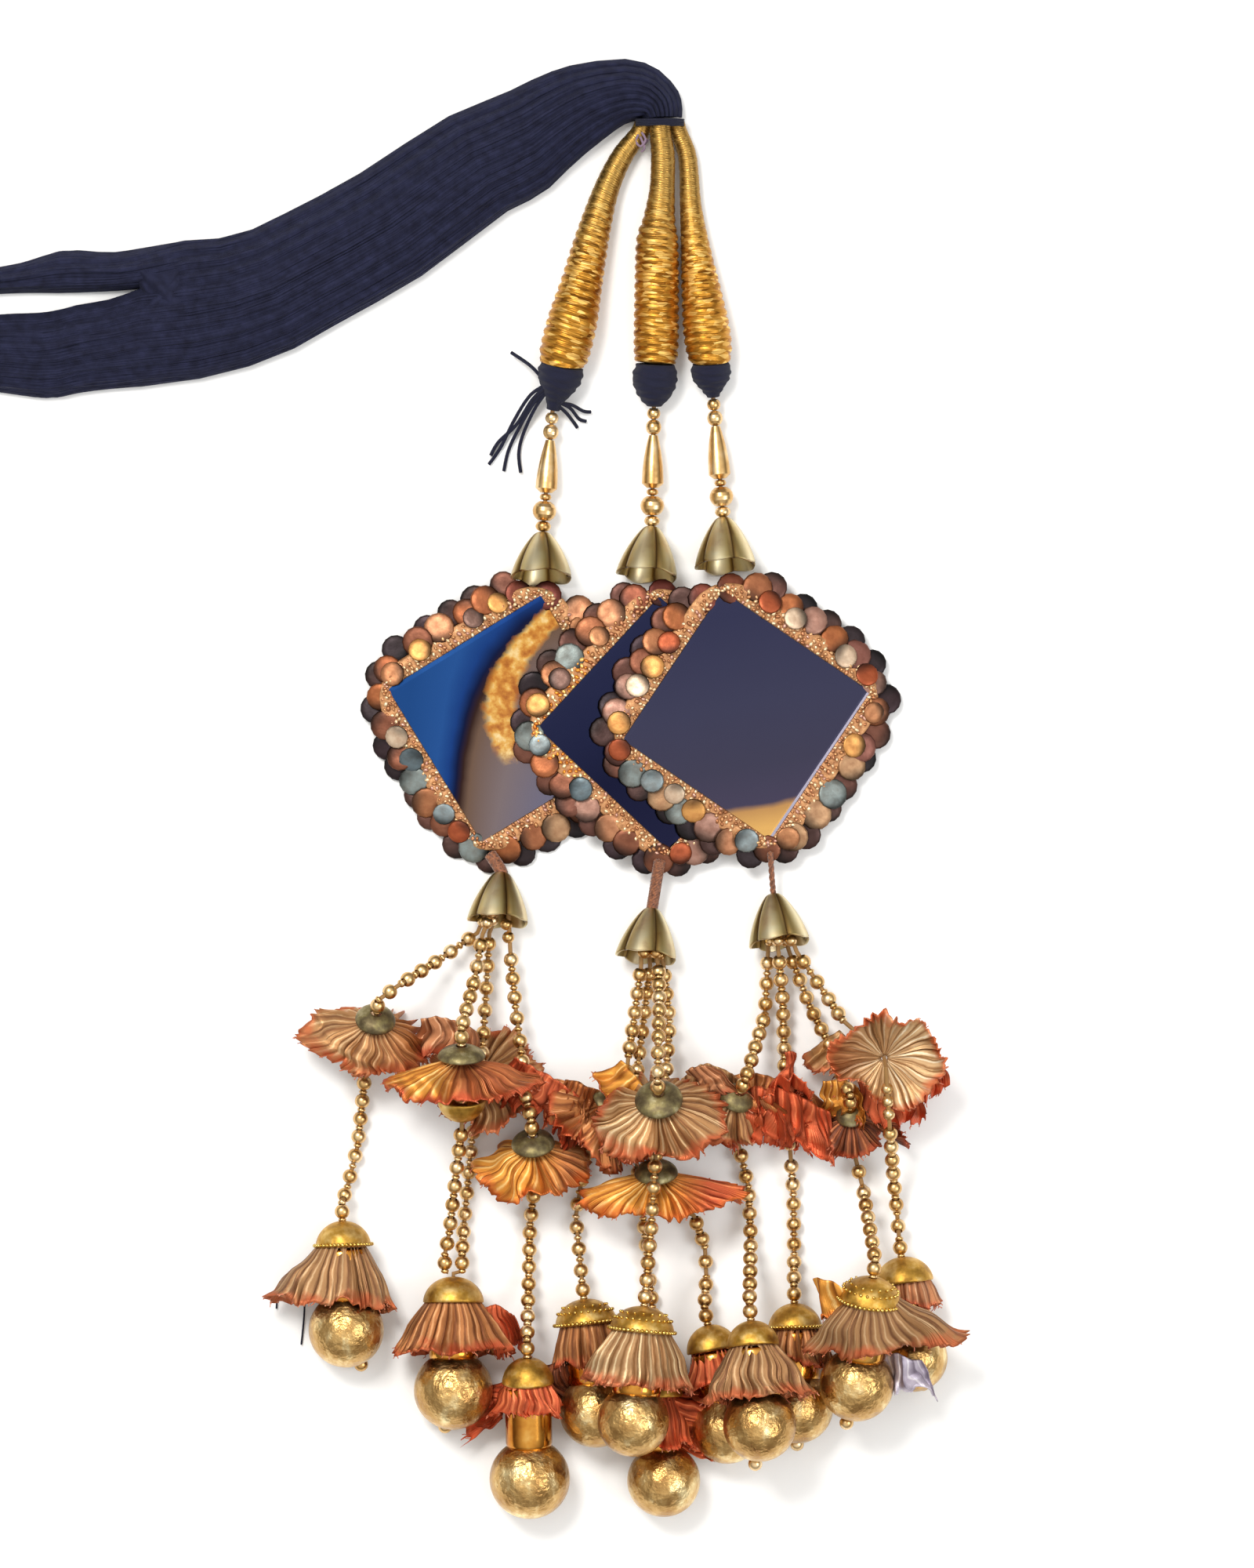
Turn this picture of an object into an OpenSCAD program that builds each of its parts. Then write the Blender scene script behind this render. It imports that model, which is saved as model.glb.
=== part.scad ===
// Braid tassel that lies on its back on the plane z = 0. A hank of dark yarn is bound to
// three arms wound with gold thread. Each arm carries link beads, a mirror in a lace and
// sequin border, and a drop of bead strings with pleated ribbon flowers and gold balls.
// +X is to the right, +Y runs up towards the yarn, +Z is up. Sizes are in millimetres.

/* [Yarn] */
// Locks across the whole hank
yarn_locks = 9; // [7:1:10]
// Depth of the valley between two locks
lock_depth = 1.2; // [0.6:0.1:1.6]
// Width of the thread band that ties the hank to the arms
band_w = 13; // [12:0.5:13.5]
// Height of that band
band_h = 10; // [9:0.5:10]
// Length of that band
band_l = 3.4; // [3:0.1:3.6]

/* [Gold arms] */
// Wound ribs along one arm
arm_ribs = 13; // [9:1:15]
// How far a rib stands out of the winding
rib_depth = 0.4; // [0.2:0.1:0.5]

/* [Link beads] */
// Radius of the small round beads
link_bead_r = 2.1; // [1.8:0.1:2.2]
// Length of the long teardrop bead
teardrop_l = 14; // [13:0.5:14.5]
// Widest radius of the teardrop bead
teardrop_r = 2.9; // [2.5:0.1:3]
// Radius of the fat bead above the cap
fat_bead_r = 3.2; // [2.8:0.1:3.3]

/* [Petal caps] */
// Radius of a cap at its open edge
cap_r = 8.2; // [7.8:0.1:8.4]
// Wall of a cap
cap_wall = 0.9; // [0.7:0.1:1]
// Petals round a cap
petals = 5; // [4:1:6]

/* [Mirrors] */
// Side of the square of glass
mirror_side = 48; // [46:0.5:48]
// Width of the lace border round the glass
lace_w = 5; // [4:0.5:5]
// Thickness of the lace border
lace_h = 3; // [2.6:0.1:3]
// Diameter of one sequin
sequin_d = 8.6; // [8.6:0.1:9]
// Thickness of one row of sequins
sequin_h = 0.7; // [0.5:0.1:0.7]

/* [Bead strings] */
// Diameter of one bead
bead_d = 4; // [3.6:0.1:4.1]
// Distance from one bead to the next
bead_pitch = 4.6; // [4.5:0.1:5]
// Diameter of the thread
thread_d = 1.2; // [1:0.1:1.2]

/* [Flowers and skirts] */
// Pleats round one flower or skirt
pleats = 16; // [12:1:18]
// How far a pleat stands out at the edge
pleat_depth = 0.6; // [0.3:0.1:0.7]
// Thickness of the pleated ribbon
ribbon_wall = 1; // [1:0.1:1.1]

/* [End balls] */
// Length of the dome over a skirt
dome_l = 7; // [6.6:0.1:7]
// Radius of the small bead under a ball
end_bead_r = 1.9; // [1.6:0.1:2]

/* [Hidden] */
$fn = 32;
// Clearance between pieces that touch on the real object
gap = 0.25;
sheet_wall = 0.8;
bore_d = thread_d + 0.9;

// Sections across the hank from the tied end: lower edge x, y, upper edge x, y, height
YARN = [
    [51.0, 178.6, 60.5, 178.6, 9.0],
    [50.5, 178.8, 60.5, 182.5, 9.5],
    [50.0, 179.0, 59.0, 186.5, 10.5],
    [49.0, 178.5, 54.0, 191.5, 11.5],
    [45.5, 177.5, 46.0, 194.0, 12.0],
    [40.5, 174.0, 32.5, 192.5, 12.5],
    [32.5, 167.5, 23.5, 189.5, 13.0],
    [23.5, 159.0, 13.0, 184.5, 13.5],
    [13.0, 153.5, -2.5, 178.0, 13.5],
    [-8.0, 137.5, -24.0, 164.0, 13.5],
    [-29.0, 125.5, -42.5, 154.0, 13.0],
    [-48.5, 115.0, -58.0, 147.0, 12.5],
    [-70.5, 109.0, -73.5, 145.5, 12.0],
    [-82.0, 107.5, -83.5, 143.5, 11.5]
];
YARN_LOWER = [
    [-75.5, 109.5, -76.5, 131.0, 10.0],
    [-83.0, 107.6, -83.5, 132.5, 10.8],
    [-91.0, 107.0, -91.5, 130.0, 10.8],
    [-99.5, 106.0, -100.0, 128.5, 10.5],
    [-108.0, 104.5, -108.5, 126.5, 10.0],
    [-120.5, 106.0, -120.5, 126.0, 9.5],
    [-135.5, 108.0, -135.5, 124.0, 8.0]
];
YARN_UPPER = [
    [-76.5, 134.5, -77.0, 143.5, 8.0],
    [-84.0, 134.0, -84.5, 143.4, 8.5],
    [-91.0, 133.0, -91.5, 142.5, 8.5],
    [-104.0, 132.5, -104.0, 143.0, 8.0],
    [-116.0, 132.5, -116.0, 139.5, 7.0],
    [-135.5, 131.5, -135.5, 136.5, 6.0]
];
// Middle of the band: x, y of its upper face, z
BAND = [55, 178.3, 5.3];

// Route down each arm: x, y, z, radius
ARMS = [
    [[49.5, 174.5, 3.2, 2.6], [45.0, 168.5, 3.5, 3.1], [40.8, 159.6, 4.0, 3.6],
     [37.1, 147.1, 5.0, 4.6], [34.2, 134.6, 6.0, 5.6], [31.7, 124.2, 7.1, 6.7],
     [29.6, 115.8, 7.2, 6.7], [29.0, 112.6, 6.8, 5.8]],
    [[55.0, 174.5, 6.4, 2.6], [55.8, 167.9, 6.4, 3.4], [55.6, 159.6, 5.9, 3.6],
     [54.8, 151.2, 5.7, 4.5], [54.3, 146.0, 6.2, 5.6], [54.2, 136.7, 6.4, 5.9],
     [54.0, 117.9, 6.5, 6.0], [53.8, 112.9, 6.5, 5.4]],
    [[60.2, 174.5, 3.0, 2.3], [62.4, 167.9, 3.2, 2.7], [63.2, 155.4, 3.6, 3.1],
     [64.6, 142.9, 4.8, 4.2], [66.0, 132.5, 5.8, 5.3], [67.4, 122.1, 6.7, 6.3],
     [68.2, 115.8, 6.6, 6.0], [68.4, 113.3, 6.2, 5.0]]
];

// Outline of each knot of thread at an arm's end: distance along, radius
TIPS = [
    [[0, 5.6], [3, 5.9], [6, 4.6], [9, 2.6], [12, 1.7]],
    [[0, 5.1], [2.5, 6.0], [5.5, 5.8], [8.5, 4.4], [11, 2.0]],
    [[0, 4.8], [2, 5.4], [4.5, 4.9], [7, 2.8], [9, 1.6]]
];
// Where each knot's thread leaves it, then the apex and the open edge of its cap
TIP_END = [[26.4, 100.4, 4.6], [53.4, 101.6, 5.2], [69.2, 104.0, 4.4]];
TOP_APEX = [[23.8, 68.0, 5.1], [52.9, 69.6, 5.1], [71.9, 72.0, 5.1]];
TOP_MOUTH = [[23.6, 56.0, 8.4], [51.6, 56.6, 8.4], [72.6, 59.0, 8.4]];

// Each mirror's middle x, y, z, turn about z, lean about x, lean about y
MIRRORS = [
    [15.4, 18.7, 1.30, 31.5, 1.4, 0],
    [55.8, 17.4, 5.05, 47.0, 0, 6],
    [77.8, 19.4, 6.10, 56.0, 0, 6]
];

// The lower caps' apexes and open edges, and where each hanger starts
DROP_APEX = [[12.9, -22.4, 5.1], [52.9, -32.0, 5.1], [85.2, -28.2, 5.1]];
DROP_MOUTH = [[12.0, -35.4, 8.4], [51.4, -45.0, 8.4], [87.0, -41.2, 8.4]];
HANGER_TOP = [[9.9, -17.6, 3.5], [54.9, -19.3, 8.7], [84.3, -17.0, 9.0]];

// Flowers half way down: rim centre x, y, z, heading from straight down, tilt from level,
// half width, half height, length, angle of the pulled out tip, how far it is pulled
FLOWERS = [
    [-21.5, -67.1, 11.0, -10, -44, 16.5, 12.5, 8, 180, 0.18],
    [2.5, -78.5, 24.8, 0, -18, 20.5, 11.5, 8, 180, 0.06],
    [7.5, -76.9, 9.0, 0, -60, 14.8, 15.5, 3, 0, 0.03],
    [21.8, -100.8, 10.6, 4, -36, 15.6, 11.8, 8, 200, 0.04],
    [33.8, -89.4, 9.6, -50, -20, 15.2, 9.0, 9, 180, 0.03],
    [55.0, -87.3, 25.8, 4, -50, 17.5, 14.0, 8, 20, 0.05],
    [48.5, -94.0, 9.0, 0, -22, 9.8, 8.0, 7, 0, 0.04],
    [54.2, -108.1, 13.8, 2, -30, 20.5, 9.6, 7, 0, 0.12],
    [72.8, -87.5, 9.4, -25, -44, 9.3, 11.4, 8, 180, 0.04],
    [89.0, -88.0, 9.2, 6, 48, 8.2, 10.0, 7, 90, 0.60],
    [105.5, -91.5, 7.6, 0, -44, 8.4, 9.2, 6, 0, 0.04],
    [114.6, -73.1, 26.0, 8, 66, 17.5, 14.5, 5, 30, 0.08]
];
// Radius of the dome on each flower, or 0 for none
FLOWER_DOMES = [6.6, 7.6, 0, 7.0, 5.6, 7.6, 5.0, 7.0, 6.0, 0, 5.0, 0];

// End pieces' balls and domes: ball centre x, y, z, ball radius, heading, tilt, distance
// from ball centre to dome apex, dome radius, collar radius, heading and depth of the end bead
ENDS = [
    [-28.4, -143.8, 10.1, 10.0, 2, 2, 29.0, 7.4, 6.6, 22, 5.5],
    [0.1, -159.8, 10.6, 10.5, 0, 3, 30.2, 8.1, 6.6, -13, 6.5],
    [20.4, -183.3, 10.8, 10.7, 1, -10, 33.0, 6.9, 6.2, 0, 8.8],
    [37.9, -165.4, 9.8, 9.7, 6, 2, 30.0, 8.3, 6.6, 0, 7.8],
    [47.9, -167.1, 25.9, 9.5, -5.5, 1, 30.5, 8.6, 6.6, 0, 9.0],
    [56.0, -183.8, 10.0, 9.7, 3, 2, 29.0, 6.8, 5.6, 0, 7.8],
    [72.9, -169.9, 9.6, 9.5, 10.7, 3, 27.9, 6.9, 6.3, 0, 7.6],
    [81.3, -168.1, 27.2, 9.7, 4.7, 8, 27.8, 7.0, 6.3, -6, 4.0],
    [91.5, -164.4, 9.7, 9.6, 1.5, 3, 27.7, 7.2, 6.3, 0, 5.0],
    [107.1, -157.7, 20.0, 9.9, -8.2, -14, 29.8, 8.3, 6.6, -14, 4.0],
    [122.5, -151.3, 9.1, 9.0, 7, 1, 27.1, 7.8, 6.0, 20, 7.2]
];
// Their skirts: turn from the ball's heading, half width, half height, distance of the rim
// from the dome apex, roll, angle of the pulled out tip, how far it is pulled
SKIRTS = [
    [0, 14.8, 9.2, 22.0, 0, 180, 0.30],
    [0, 15.5, 9.4, 20.0, 0, 0, 0.04],
    [0, 10.6, 7.8, 14.5, 50, 0, 0.03],
    [0, 9.8, 8.6, 18.0, 0, 180, 0.04],
    [0, 14.4, 8.6, 21.0, 0, 0, 0.04],
    [0, 8.6, 7.2, 20.0, 50, 0, 0.04],
    [0, 8.7, 8.2, 16.0, 0, 0, 0.04],
    [0, 13.6, 8.8, 20.5, 0, 0, 0.08],
    [0, 9.4, 8.2, 17.0, 0, 0, 0.05],
    [14, 18.0, 8.8, 18.5, 0, 0, 0.40],
    [0, 8.6, 8.0, 13.0, 0, 0, 0.05]
];

// Strings: cap 0 to 2, flower passed through, end piece reached, shift aside at the end
// piece, then the points passed between cap and flower and between flower and end piece
STRINGS = [
    [0, 0, 0, 0, [[6.4, -38.4, 3.4], [-3.0, -45.0, 9.0], [-13.6, -51.6, 20.5]],
        [[-23.5, -76.0, 5.0], [-25.5, -95.0, 2.3], [-28.2, -106.0, 3.6]]],
    [0, 1, 1, -2.3, [[7.8, -38.8, 10.4], [6.0, -50.0, 16.0]],
        [[2.5, -89.6, 21.2], [1.4, -98.0, 17.0], [-1.0, -118.0, 9.0]]],
    [0, 2, 1, 2.3, [[9.6, -38.4, 5.4], [8.6, -56.0, 4.4], [7.9, -68.0, 9.4], [7.6, -72.4, 13.0]],
        [[6.4, -84.0, 4.0], [4.8, -94.0, 2.3], [2.8, -116.0, 2.3]]],
    [0, 3, 2, 0, [[15.2, -43.0, 7.0], [16.6, -58.0, 8.4], [18.2, -70.0, 12.4], [18.9, -79.6, 14.8]],
        [[21.6, -106.0, 4.6], [20.4, -116.0, 2.3], [20.0, -134.0, 6.0]]],
    [1, 4, 3, 0, [[50.0, -47.0, 8.4], [48.0, -62.0, 8.0], [46.6, -71.0, 12.0]],
        [[35.3, -94.8, 2.6], [34.6, -101.0, 2.3], [32.6, -114.0, 2.3]]],
    [1, 6, 5, 0, [[52.4, -47.0, 4.0], [50.6, -62.0, 2.6], [49.2, -73.0, 9.0]],
        [[48.8, -99.5, 3.6], [49.6, -105.0, 2.3], [53.0, -138.0, 2.6]]],
    [1, 5, 4, 0, [[54.6, -47.0, 8.4], [54.8, -57.0, 20.0], [54.5, -67.0, 34.0]],
        [[53.8, -97.0, 25.6], [52.8, -114.0, 25.4]]],
    [1, 7, 6, 0, [[56.0, -47.4, 4.4], [57.6, -62.0, 2.6], [56.6, -77.0, 11.0]],
        [[64.0, -113.5, 6.0], [67.0, -122.0, 2.3], [67.4, -130.0, 2.6]]],
    [2, 8, 7, 0, [[83.8, -43.8, 4.0], [83.0, -60.0, 4.0]],
        [[76.0, -95.0, 3.6], [78.6, -106.0, 2.3], [79.2, -120.0, 6.0]]],
    [2, 9, 8, 0, [[86.6, -43.8, 8.4], [87.8, -58.0, 5.0], [88.3, -76.0, 2.4]],
        [[89.8, -98.0, 6.0], [90.6, -108.0, 2.3], [90.8, -124.0, 2.6]]],
    [2, 10, 9, 0, [[89.6, -43.8, 4.0], [95.0, -58.0, 4.0], [101.0, -70.0, 7.0]],
        [[107.0, -98.0, 3.6], [109.0, -106.0, 4.0]]],
    [2, 11, 10, 0, [[91.4, -43.4, 8.4], [98.6, -54.0, 11.0], [103.6, -61.5, 15.0]],
        [[115.8, -89.5, 21.8], [117.2, -104.0, 8.0], [118.2, -113.0, 3.0]]]
];

SIDE = ["left", "middle", "right"];

// Vectors and placing

function unit(v) = v / norm(v);
function mix(a, b, t) = a + (b - a) * t;
function spot(row) = [row[0], row[1], row[2]];

// Direction that points down the tassel (-Y), turned by yaw and tilted up by pitch
function heading(yaw, pitch) = [cos(pitch) * sin(yaw), -cos(pitch) * cos(yaw), sin(pitch)];
function across(yaw) = [cos(yaw), sin(yaw), 0];
function over(yaw, pitch) = cross(heading(yaw, pitch), across(yaw));

// Moves children's +Z axis onto the line that runs from one point to another
module aim(from, to) {
    d = to - from;
    translate(from) rotate([0, acos(d[2] / norm(d)), atan2(d[1], d[0])]) children();
}

// Point on a smooth curve through the rows of a table, where t counts the rows
function curve(table, t) =
    let(last = len(table) - 1, i = max(0, min(floor(t), last - 1)), u = t - i,
        a = table[max(i - 1, 0)], b = table[i], c = table[i + 1], d = table[min(i + 2, last)])
    0.5 * (2 * b + u * (c - a) + u * u * (2 * a - 5 * b + 4 * c - d)
        + u * u * u * (3 * b - a - 3 * c + d));

// Solid skinned over rings of points, closed by a fan at each end
module skin(rings) {
    n = len(rings[0]);
    m = len(rings);
    points = concat([for (r = rings) each r], [mean(rings[0]), mean(rings[m - 1])]);
    sides = [for (i = [0 : m - 2]) for (j = [0 : n - 1]) let(k = (j + 1) % n)
        each [[i * n + j, (i + 1) * n + k, i * n + k], [i * n + j, (i + 1) * n + j, (i + 1) * n + k]]];
    first = [for (j = [0 : n - 1]) [m * n, j, (j + 1) % n]];
    last = [for (j = [0 : n - 1]) [m * n + 1, (m - 1) * n + (j + 1) % n, (m - 1) * n + j]];
    polyhedron(points, concat(sides, first, last));
}

function mean(ring) = [for (c = [0 : 2]) sum([for (p = ring) p[c]]) / len(ring)];
function sum(list, i = 0) = i < len(list) ? list[i] + sum(list, i + 1) : 0;

// Wall whose rings run out along one face and back along the other
module wall(rings) {
    n = len(rings[0]);
    m = len(rings);
    faces = [for (i = [0 : m - 1]) for (j = [0 : n - 1]) let(k = (j + 1) % n, h = (i + 1) % m)
        each [[i * n + j, h * n + k, i * n + k], [i * n + j, h * n + j, h * n + k]]];
    polyhedron([for (r = rings) each r], faces);
}

// Yarn

// Ring across the hank: ridged over the top, flat where it lies
function lock_ring(row, locks, foot) =
    let(lo = [row[0], row[1]], up = [row[2], row[3]], top = row[4])
    concat(
        [for (i = [0 : 2 * locks]) let(u = i / (2 * locks), p = mix(lo, up, u))
            [p[0], p[1], foot + top * (0.3 + 0.7 * pow(sin(180 * u), 0.7))
                - (i % 2 == 0 ? lock_depth : 0)]],
        [for (u = [0.93, 0.5, 0.07]) let(p = mix(lo, up, u)) [p[0], p[1], foot]]
    );

module lock_strand(table, locks, foot) {
    skin([for (row = table) lock_ring(row, locks, foot)]);
}

module yarn_bundle() {
    color("midnightblue") union() {
        lock_strand(YARN, yarn_locks, 0);
        lock_strand(YARN_LOWER, yarn_locks - 3, 0.1);
        lock_strand(YARN_UPPER, 3, 0.2);
    }
}

module yarn_binding() {
    ribs = 3;
    rib = band_l / ribs;
    outline = [for (k = [0 : ribs - 1]) for (a = [-60 : 30 : 60])
        [band_h / 2 - rib / 4 + cos(a) * rib / 2, (k + 0.5) * rib + sin(a) * rib / 2]];
    color("midnightblue") translate(BAND) rotate([90, 0, 0]) scale([band_w / band_h, 1, 1])
        rotate_extrude() polygon(concat([[0, 0]], outline, [[0, band_l]]));
}

// Arms, knots and link beads

module arm(table, toward) {
    sides = 12;
    rings = 2 * arm_ribs;
    color("goldenrod") skin([for (i = [0 : rings])
        let(t = i * (len(table) - 1) / rings, p = curve(table, t), q = curve(table, t + 0.01),
            o = curve(table, t - 0.01), d = unit(i == 0 ? [0, -1, 0] : i == rings ? toward - spot(p) : spot(q) - spot(o)),
            s = unit(cross([0, 0, 1], d)), w = cross(d, s), r = p[3] - (i % 2 == 0 ? rib_depth : 0))
        [for (j = [0 : sides - 1]) let(a = 360 * j / sides)
            spot(p) + r * (cos(a) * s + sin(a) * w)]]);
}

// The knot starts a little below the arm's end and points at its thread
function arm_end(i) = let(p = spot(ARMS[i][len(ARMS[i]) - 1])) p + gap * unit(TIP_END[i] - p);

module arm_tip(i) {
    color("midnightblue") aim(arm_end(i), TIP_END[i]) difference() {
        rotate_extrude() polygon(concat([[0, 0]], [for (p = TIPS[i]) [p[1], p[0]]],
            [[0, TIPS[i][len(TIPS[i]) - 1][0]]]));
        translate([0, 0, TIPS[i][len(TIPS[i]) - 1][0] - 2]) cylinder(h = 3, d = bore_d);
    }
}

// Link beads in order down the thread: length, radius, shape (0 ball, 1 teardrop)
LINKS = [
    [3.0, link_bead_r - 0.3, 0], [3.8, link_bead_r, 0], [teardrop_l, teardrop_r, 1],
    [1.8, link_bead_r - 0.5, 0], [5.0, fat_bead_r, 0], [2.6, link_bead_r, 0]
];
links_l = sum([for (row = LINKS) row[0]]) + gap * (len(LINKS) - 1);

function link_start(i) = sum([for (k = [0 : 1 : i - 1]) LINKS[k][0] + gap]);

module bead_shape(length, radius, teardrop) {
    outline = teardrop == 1
        ? [for (t = [0 : 0.125 : 1]) [1.2 + (radius - 1.2) * pow(sin(90 * pow(t, 0.8)), 1.2), 0.92 * t * length]]
        : [for (a = [-60 : 20 : 60]) [radius * cos(a) , length / 2 * (1 + sin(a) / sin(60))]];
    close = teardrop == 1 ? [[radius * 0.55, length]] : [];
    difference() {
        rotate_extrude() polygon(concat([[0, 0]], outline, close, [[0, length]]));
        translate([0, 0, -1]) cylinder(h = length + 2, d = bore_d);
    }
}

// The beads are spread evenly between the knot and the cap
module link_beads(i) {
    room = norm(TOP_APEX[i] - TIP_END[i]) - gap - 0.4;
    spare = (room - links_l) / (len(LINKS) + 1);
    color("gold") aim(TIP_END[i], TOP_APEX[i])
        for (k = [0 : len(LINKS) - 1]) translate([0, 0, gap + link_start(k) + spare * k])
            bead_shape(LINKS[k][0], LINKS[k][1], LINKS[k][2]);
}

// Thread that runs straight from point to point
module thread_run(route) {
    sides = 10;
    last = len(route) - 1;
    skin([for (k = [0 : last])
        let(before = unit(route[max(k, 1)] - route[max(k, 1) - 1]),
            after = unit(route[min(k, last - 1) + 1] - route[min(k, last - 1)]),
            d = unit(before + after), s = unit(cross([1, 0, 0], d)), w = cross(d, s))
        [for (j = [0 : sides - 1]) let(a = 360 * j / sides)
            route[k] + thread_d / 2 * (cos(a) * s + sin(a) * w)]]);
}

// Thread from inside a knot to inside a cap, straight where it enters each
module link_threads() {
    color("darkgoldenrod") for (i = [0 : 2]) {
        out = unit(TIP_END[i] - arm_end(i));
        in = unit(TOP_MOUTH[i] - TOP_APEX[i]);
        thread_run([TIP_END[i] - 1.5 * out, TIP_END[i], TOP_APEX[i], TOP_APEX[i] + 3 * in]);
    }
}

// Petal caps

function cap_radius(t, r) = 1.7 + (r - 1.7) * pow(sin(90 * t), 0.8);

module petal_cap(apex, mouth) {
    steps = 8;
    length = norm(mouth - apex);
    outside = [for (k = [0 : steps]) [cap_radius(k / steps, cap_r), length * k / steps]];
    inside = [for (k = [steps : -1 : 1])
        [cap_radius(k / steps, cap_r) - cap_wall, length * k / steps]];
    color("darkkhaki") aim(apex, mouth) difference() {
        rotate_extrude() polygon(concat([[bore_d / 2, 0]], outside, inside,
            [[bore_d / 2, cap_wall]]));
        for (k = [0 : petals - 1]) rotate([0, 0, 360 * (k + 0.5) / petals])
            translate([cap_r - 2, 0, length]) rotate([0, 90, 0]) cylinder(h = 4, r = 1.3);
    }
}

// Mirrors

frame_half = mirror_side / 2 + lace_w;

module on_mirror(i) {
    m = MIRRORS[i];
    translate([m[0], m[1], m[2]]) rotate([m[4], m[5], 0]) rotate([0, 0, m[3]]) children();
}

lace_corner = 12;

// Square with rounded corners, about the origin
module soft_square(half, corner) {
    union() {
        square([2 * half, 2 * (half - corner)], center = true);
        square([2 * (half - corner), 2 * half], center = true);
        for (x = [-1, 1]) for (y = [-1, 1])
            translate([x * (half - corner), y * (half - corner)]) circle(r = corner);
    }
}

module mirror_glass(i) {
    inset = mirror_side / 2 - gap;
    color("slategray") on_mirror(i)
        translate([-inset, -inset, 1 + gap]) cube([2 * inset, 2 * inset, lace_h - 1.3 - gap]);
}

module mirror_frame(i) {
    color("peru") on_mirror(i) difference() {
        linear_extrude(lace_h) soft_square(frame_half, lace_corner);
        translate([-mirror_side / 2, -mirror_side / 2, 1]) cube([mirror_side, mirror_side, lace_h]);
    }
}

// One row of sequins on a squared circle; the top corner is left free for the cap
module sequin_row(half, count, turn) {
    power = 3;
    for (k = [0 : count - 1]) {
        a = 360 * (k + turn) / count;
        reach = half / pow(pow(abs(cos(a)), power) + pow(abs(sin(a)), power), 1 / power);
        if (abs(a - 45) > 15) rotate([0, 0, a]) translate([reach, 0]) circle(d = sequin_d);
    }
}

// Height of the lower row's underside above the back of the border
sequin_low = 0.8;
// How far the two rows run into each other
row_grip = 0.1;

module sequins(i) {
    color("saddlebrown") on_mirror(i) for (row = [[0, 3, 30, 0.25], [1, 1.6, 30, 0.75]])
        translate([0, 0, sequin_low + row[0] * sequin_h]) linear_extrude(sequin_h + row_grip) difference() {
            sequin_row(frame_half + row[1], row[2], row[3]);
            soft_square(frame_half + gap, lace_corner + gap);
        }
}

// The knot inside each lower cap carries the cap and the strings
knot_r = 3;
knot_drop = 4;

function drop_dir(d) = unit(DROP_MOUTH[d] - DROP_APEX[d]);
function knot_at(d) = DROP_APEX[d] + knot_drop * drop_dir(d);

module hangers() {
    color("sienna") for (i = [0 : 2]) union() {
        thread_run([HANGER_TOP[i], DROP_APEX[i] - gap * drop_dir(i), knot_at(i)]);
        translate(knot_at(i)) sphere(r = knot_r);
    }
}

// Pleated ribbon

// Ring of a pleated cone: share t of the way to the rim, depth under its outer face
function pleat_ring(c, yaw, pitch, a, b, length, hole, tip, reach, roll, t, depth) =
    let(d = heading(yaw, pitch), u = across(yaw), w = over(yaw, pitch),
        flare = t < 1 ? 0.62 * t / 0.5 : 1,
        su = cos(roll) * u + sin(roll) * w, sw = cos(roll) * w - sin(roll) * u,
        slope = unit([length, max(a, b) - hole]))
    [for (j = [0 : 2 * pleats - 1])
        let(f = 360 * j / (2 * pleats),
            pull = 1 + t * reach * pow(max(0, cos(f - tip)), 4),
            wave = t * pleat_depth * (j % 2 == 0 ? 1 : -1) + depth,
            ra = hole + (a * pull - hole) * flare - wave * slope[0],
            rb = hole + (b * pull - hole) * flare - wave * slope[0])
        c + d * (length * (t - 1) + wave * slope[1]) + ra * cos(f) * su + rb * sin(f) * sw];

module pleated(c, yaw, pitch, a, b, length, hole, tip, reach, roll = 0) {
    wall(concat(
        [for (t = [0, 0.5, 1]) pleat_ring(c, yaw, pitch, a, b, length, hole, tip, reach, roll, t, 0)],
        [for (t = [1, 0.5, 0])
            pleat_ring(c, yaw, pitch, a, b, length, hole, tip, reach, roll, t, ribbon_wall)]
    ));
}

// Shallow hollow dome with its apex at the origin and its open edge at z = length
module dome(radius, length) {
    steps = 6;
    outside = [for (k = [0 : steps]) let(a = 15 + 75 * k / steps)
        [radius * sin(a), length * (1 - cos(a)) / (1 - cos(90))]];
    inside = [for (k = [steps : -1 : 0]) let(a = 15 + 75 * k / steps)
        [(radius - sheet_wall) * sin(a), length - (length - sheet_wall) * cos(a)]];
    difference() {
        rotate_extrude() polygon(concat([[0, 0]], outside, inside, [[0, sheet_wall]]));
        translate([0, 0, -1]) cylinder(h = length, d = bore_d);
    }
}

// Mid flowers

flower_hole = bore_d / 2 + 0.4;

function flower_dir(i) = heading(FLOWERS[i][3], FLOWERS[i][4]);
function flower_apex(i) = spot(FLOWERS[i]) - FLOWERS[i][7] * flower_dir(i);

module flower(i) {
    f = FLOWERS[i];
    pleated(spot(f), f[3], f[4], f[5], f[6], f[7], flower_hole + ribbon_wall, f[8], f[9]);
}

// Height of a flower's dome over the flower's top
dome_rise = 3.2;

// Distance below the flower's top at which the dome's edge would meet the pleats
function dome_seat(i) = let(f = FLOWERS[i])
    f[7] * 0.5 * (FLOWER_DOMES[i] - flower_hole) / (0.62 * (max(f[5], f[6]) * (1 + f[9]) - flower_hole));

module flower_dome(i) {
    start = flower_apex(i) - dome_rise * flower_dir(i);
    if (FLOWER_DOMES[i] > 0) aim(start, start + flower_dir(i))
        dome(FLOWER_DOMES[i], dome_rise + dome_seat(i) - 2 * gap - pleat_depth);
}

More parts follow.
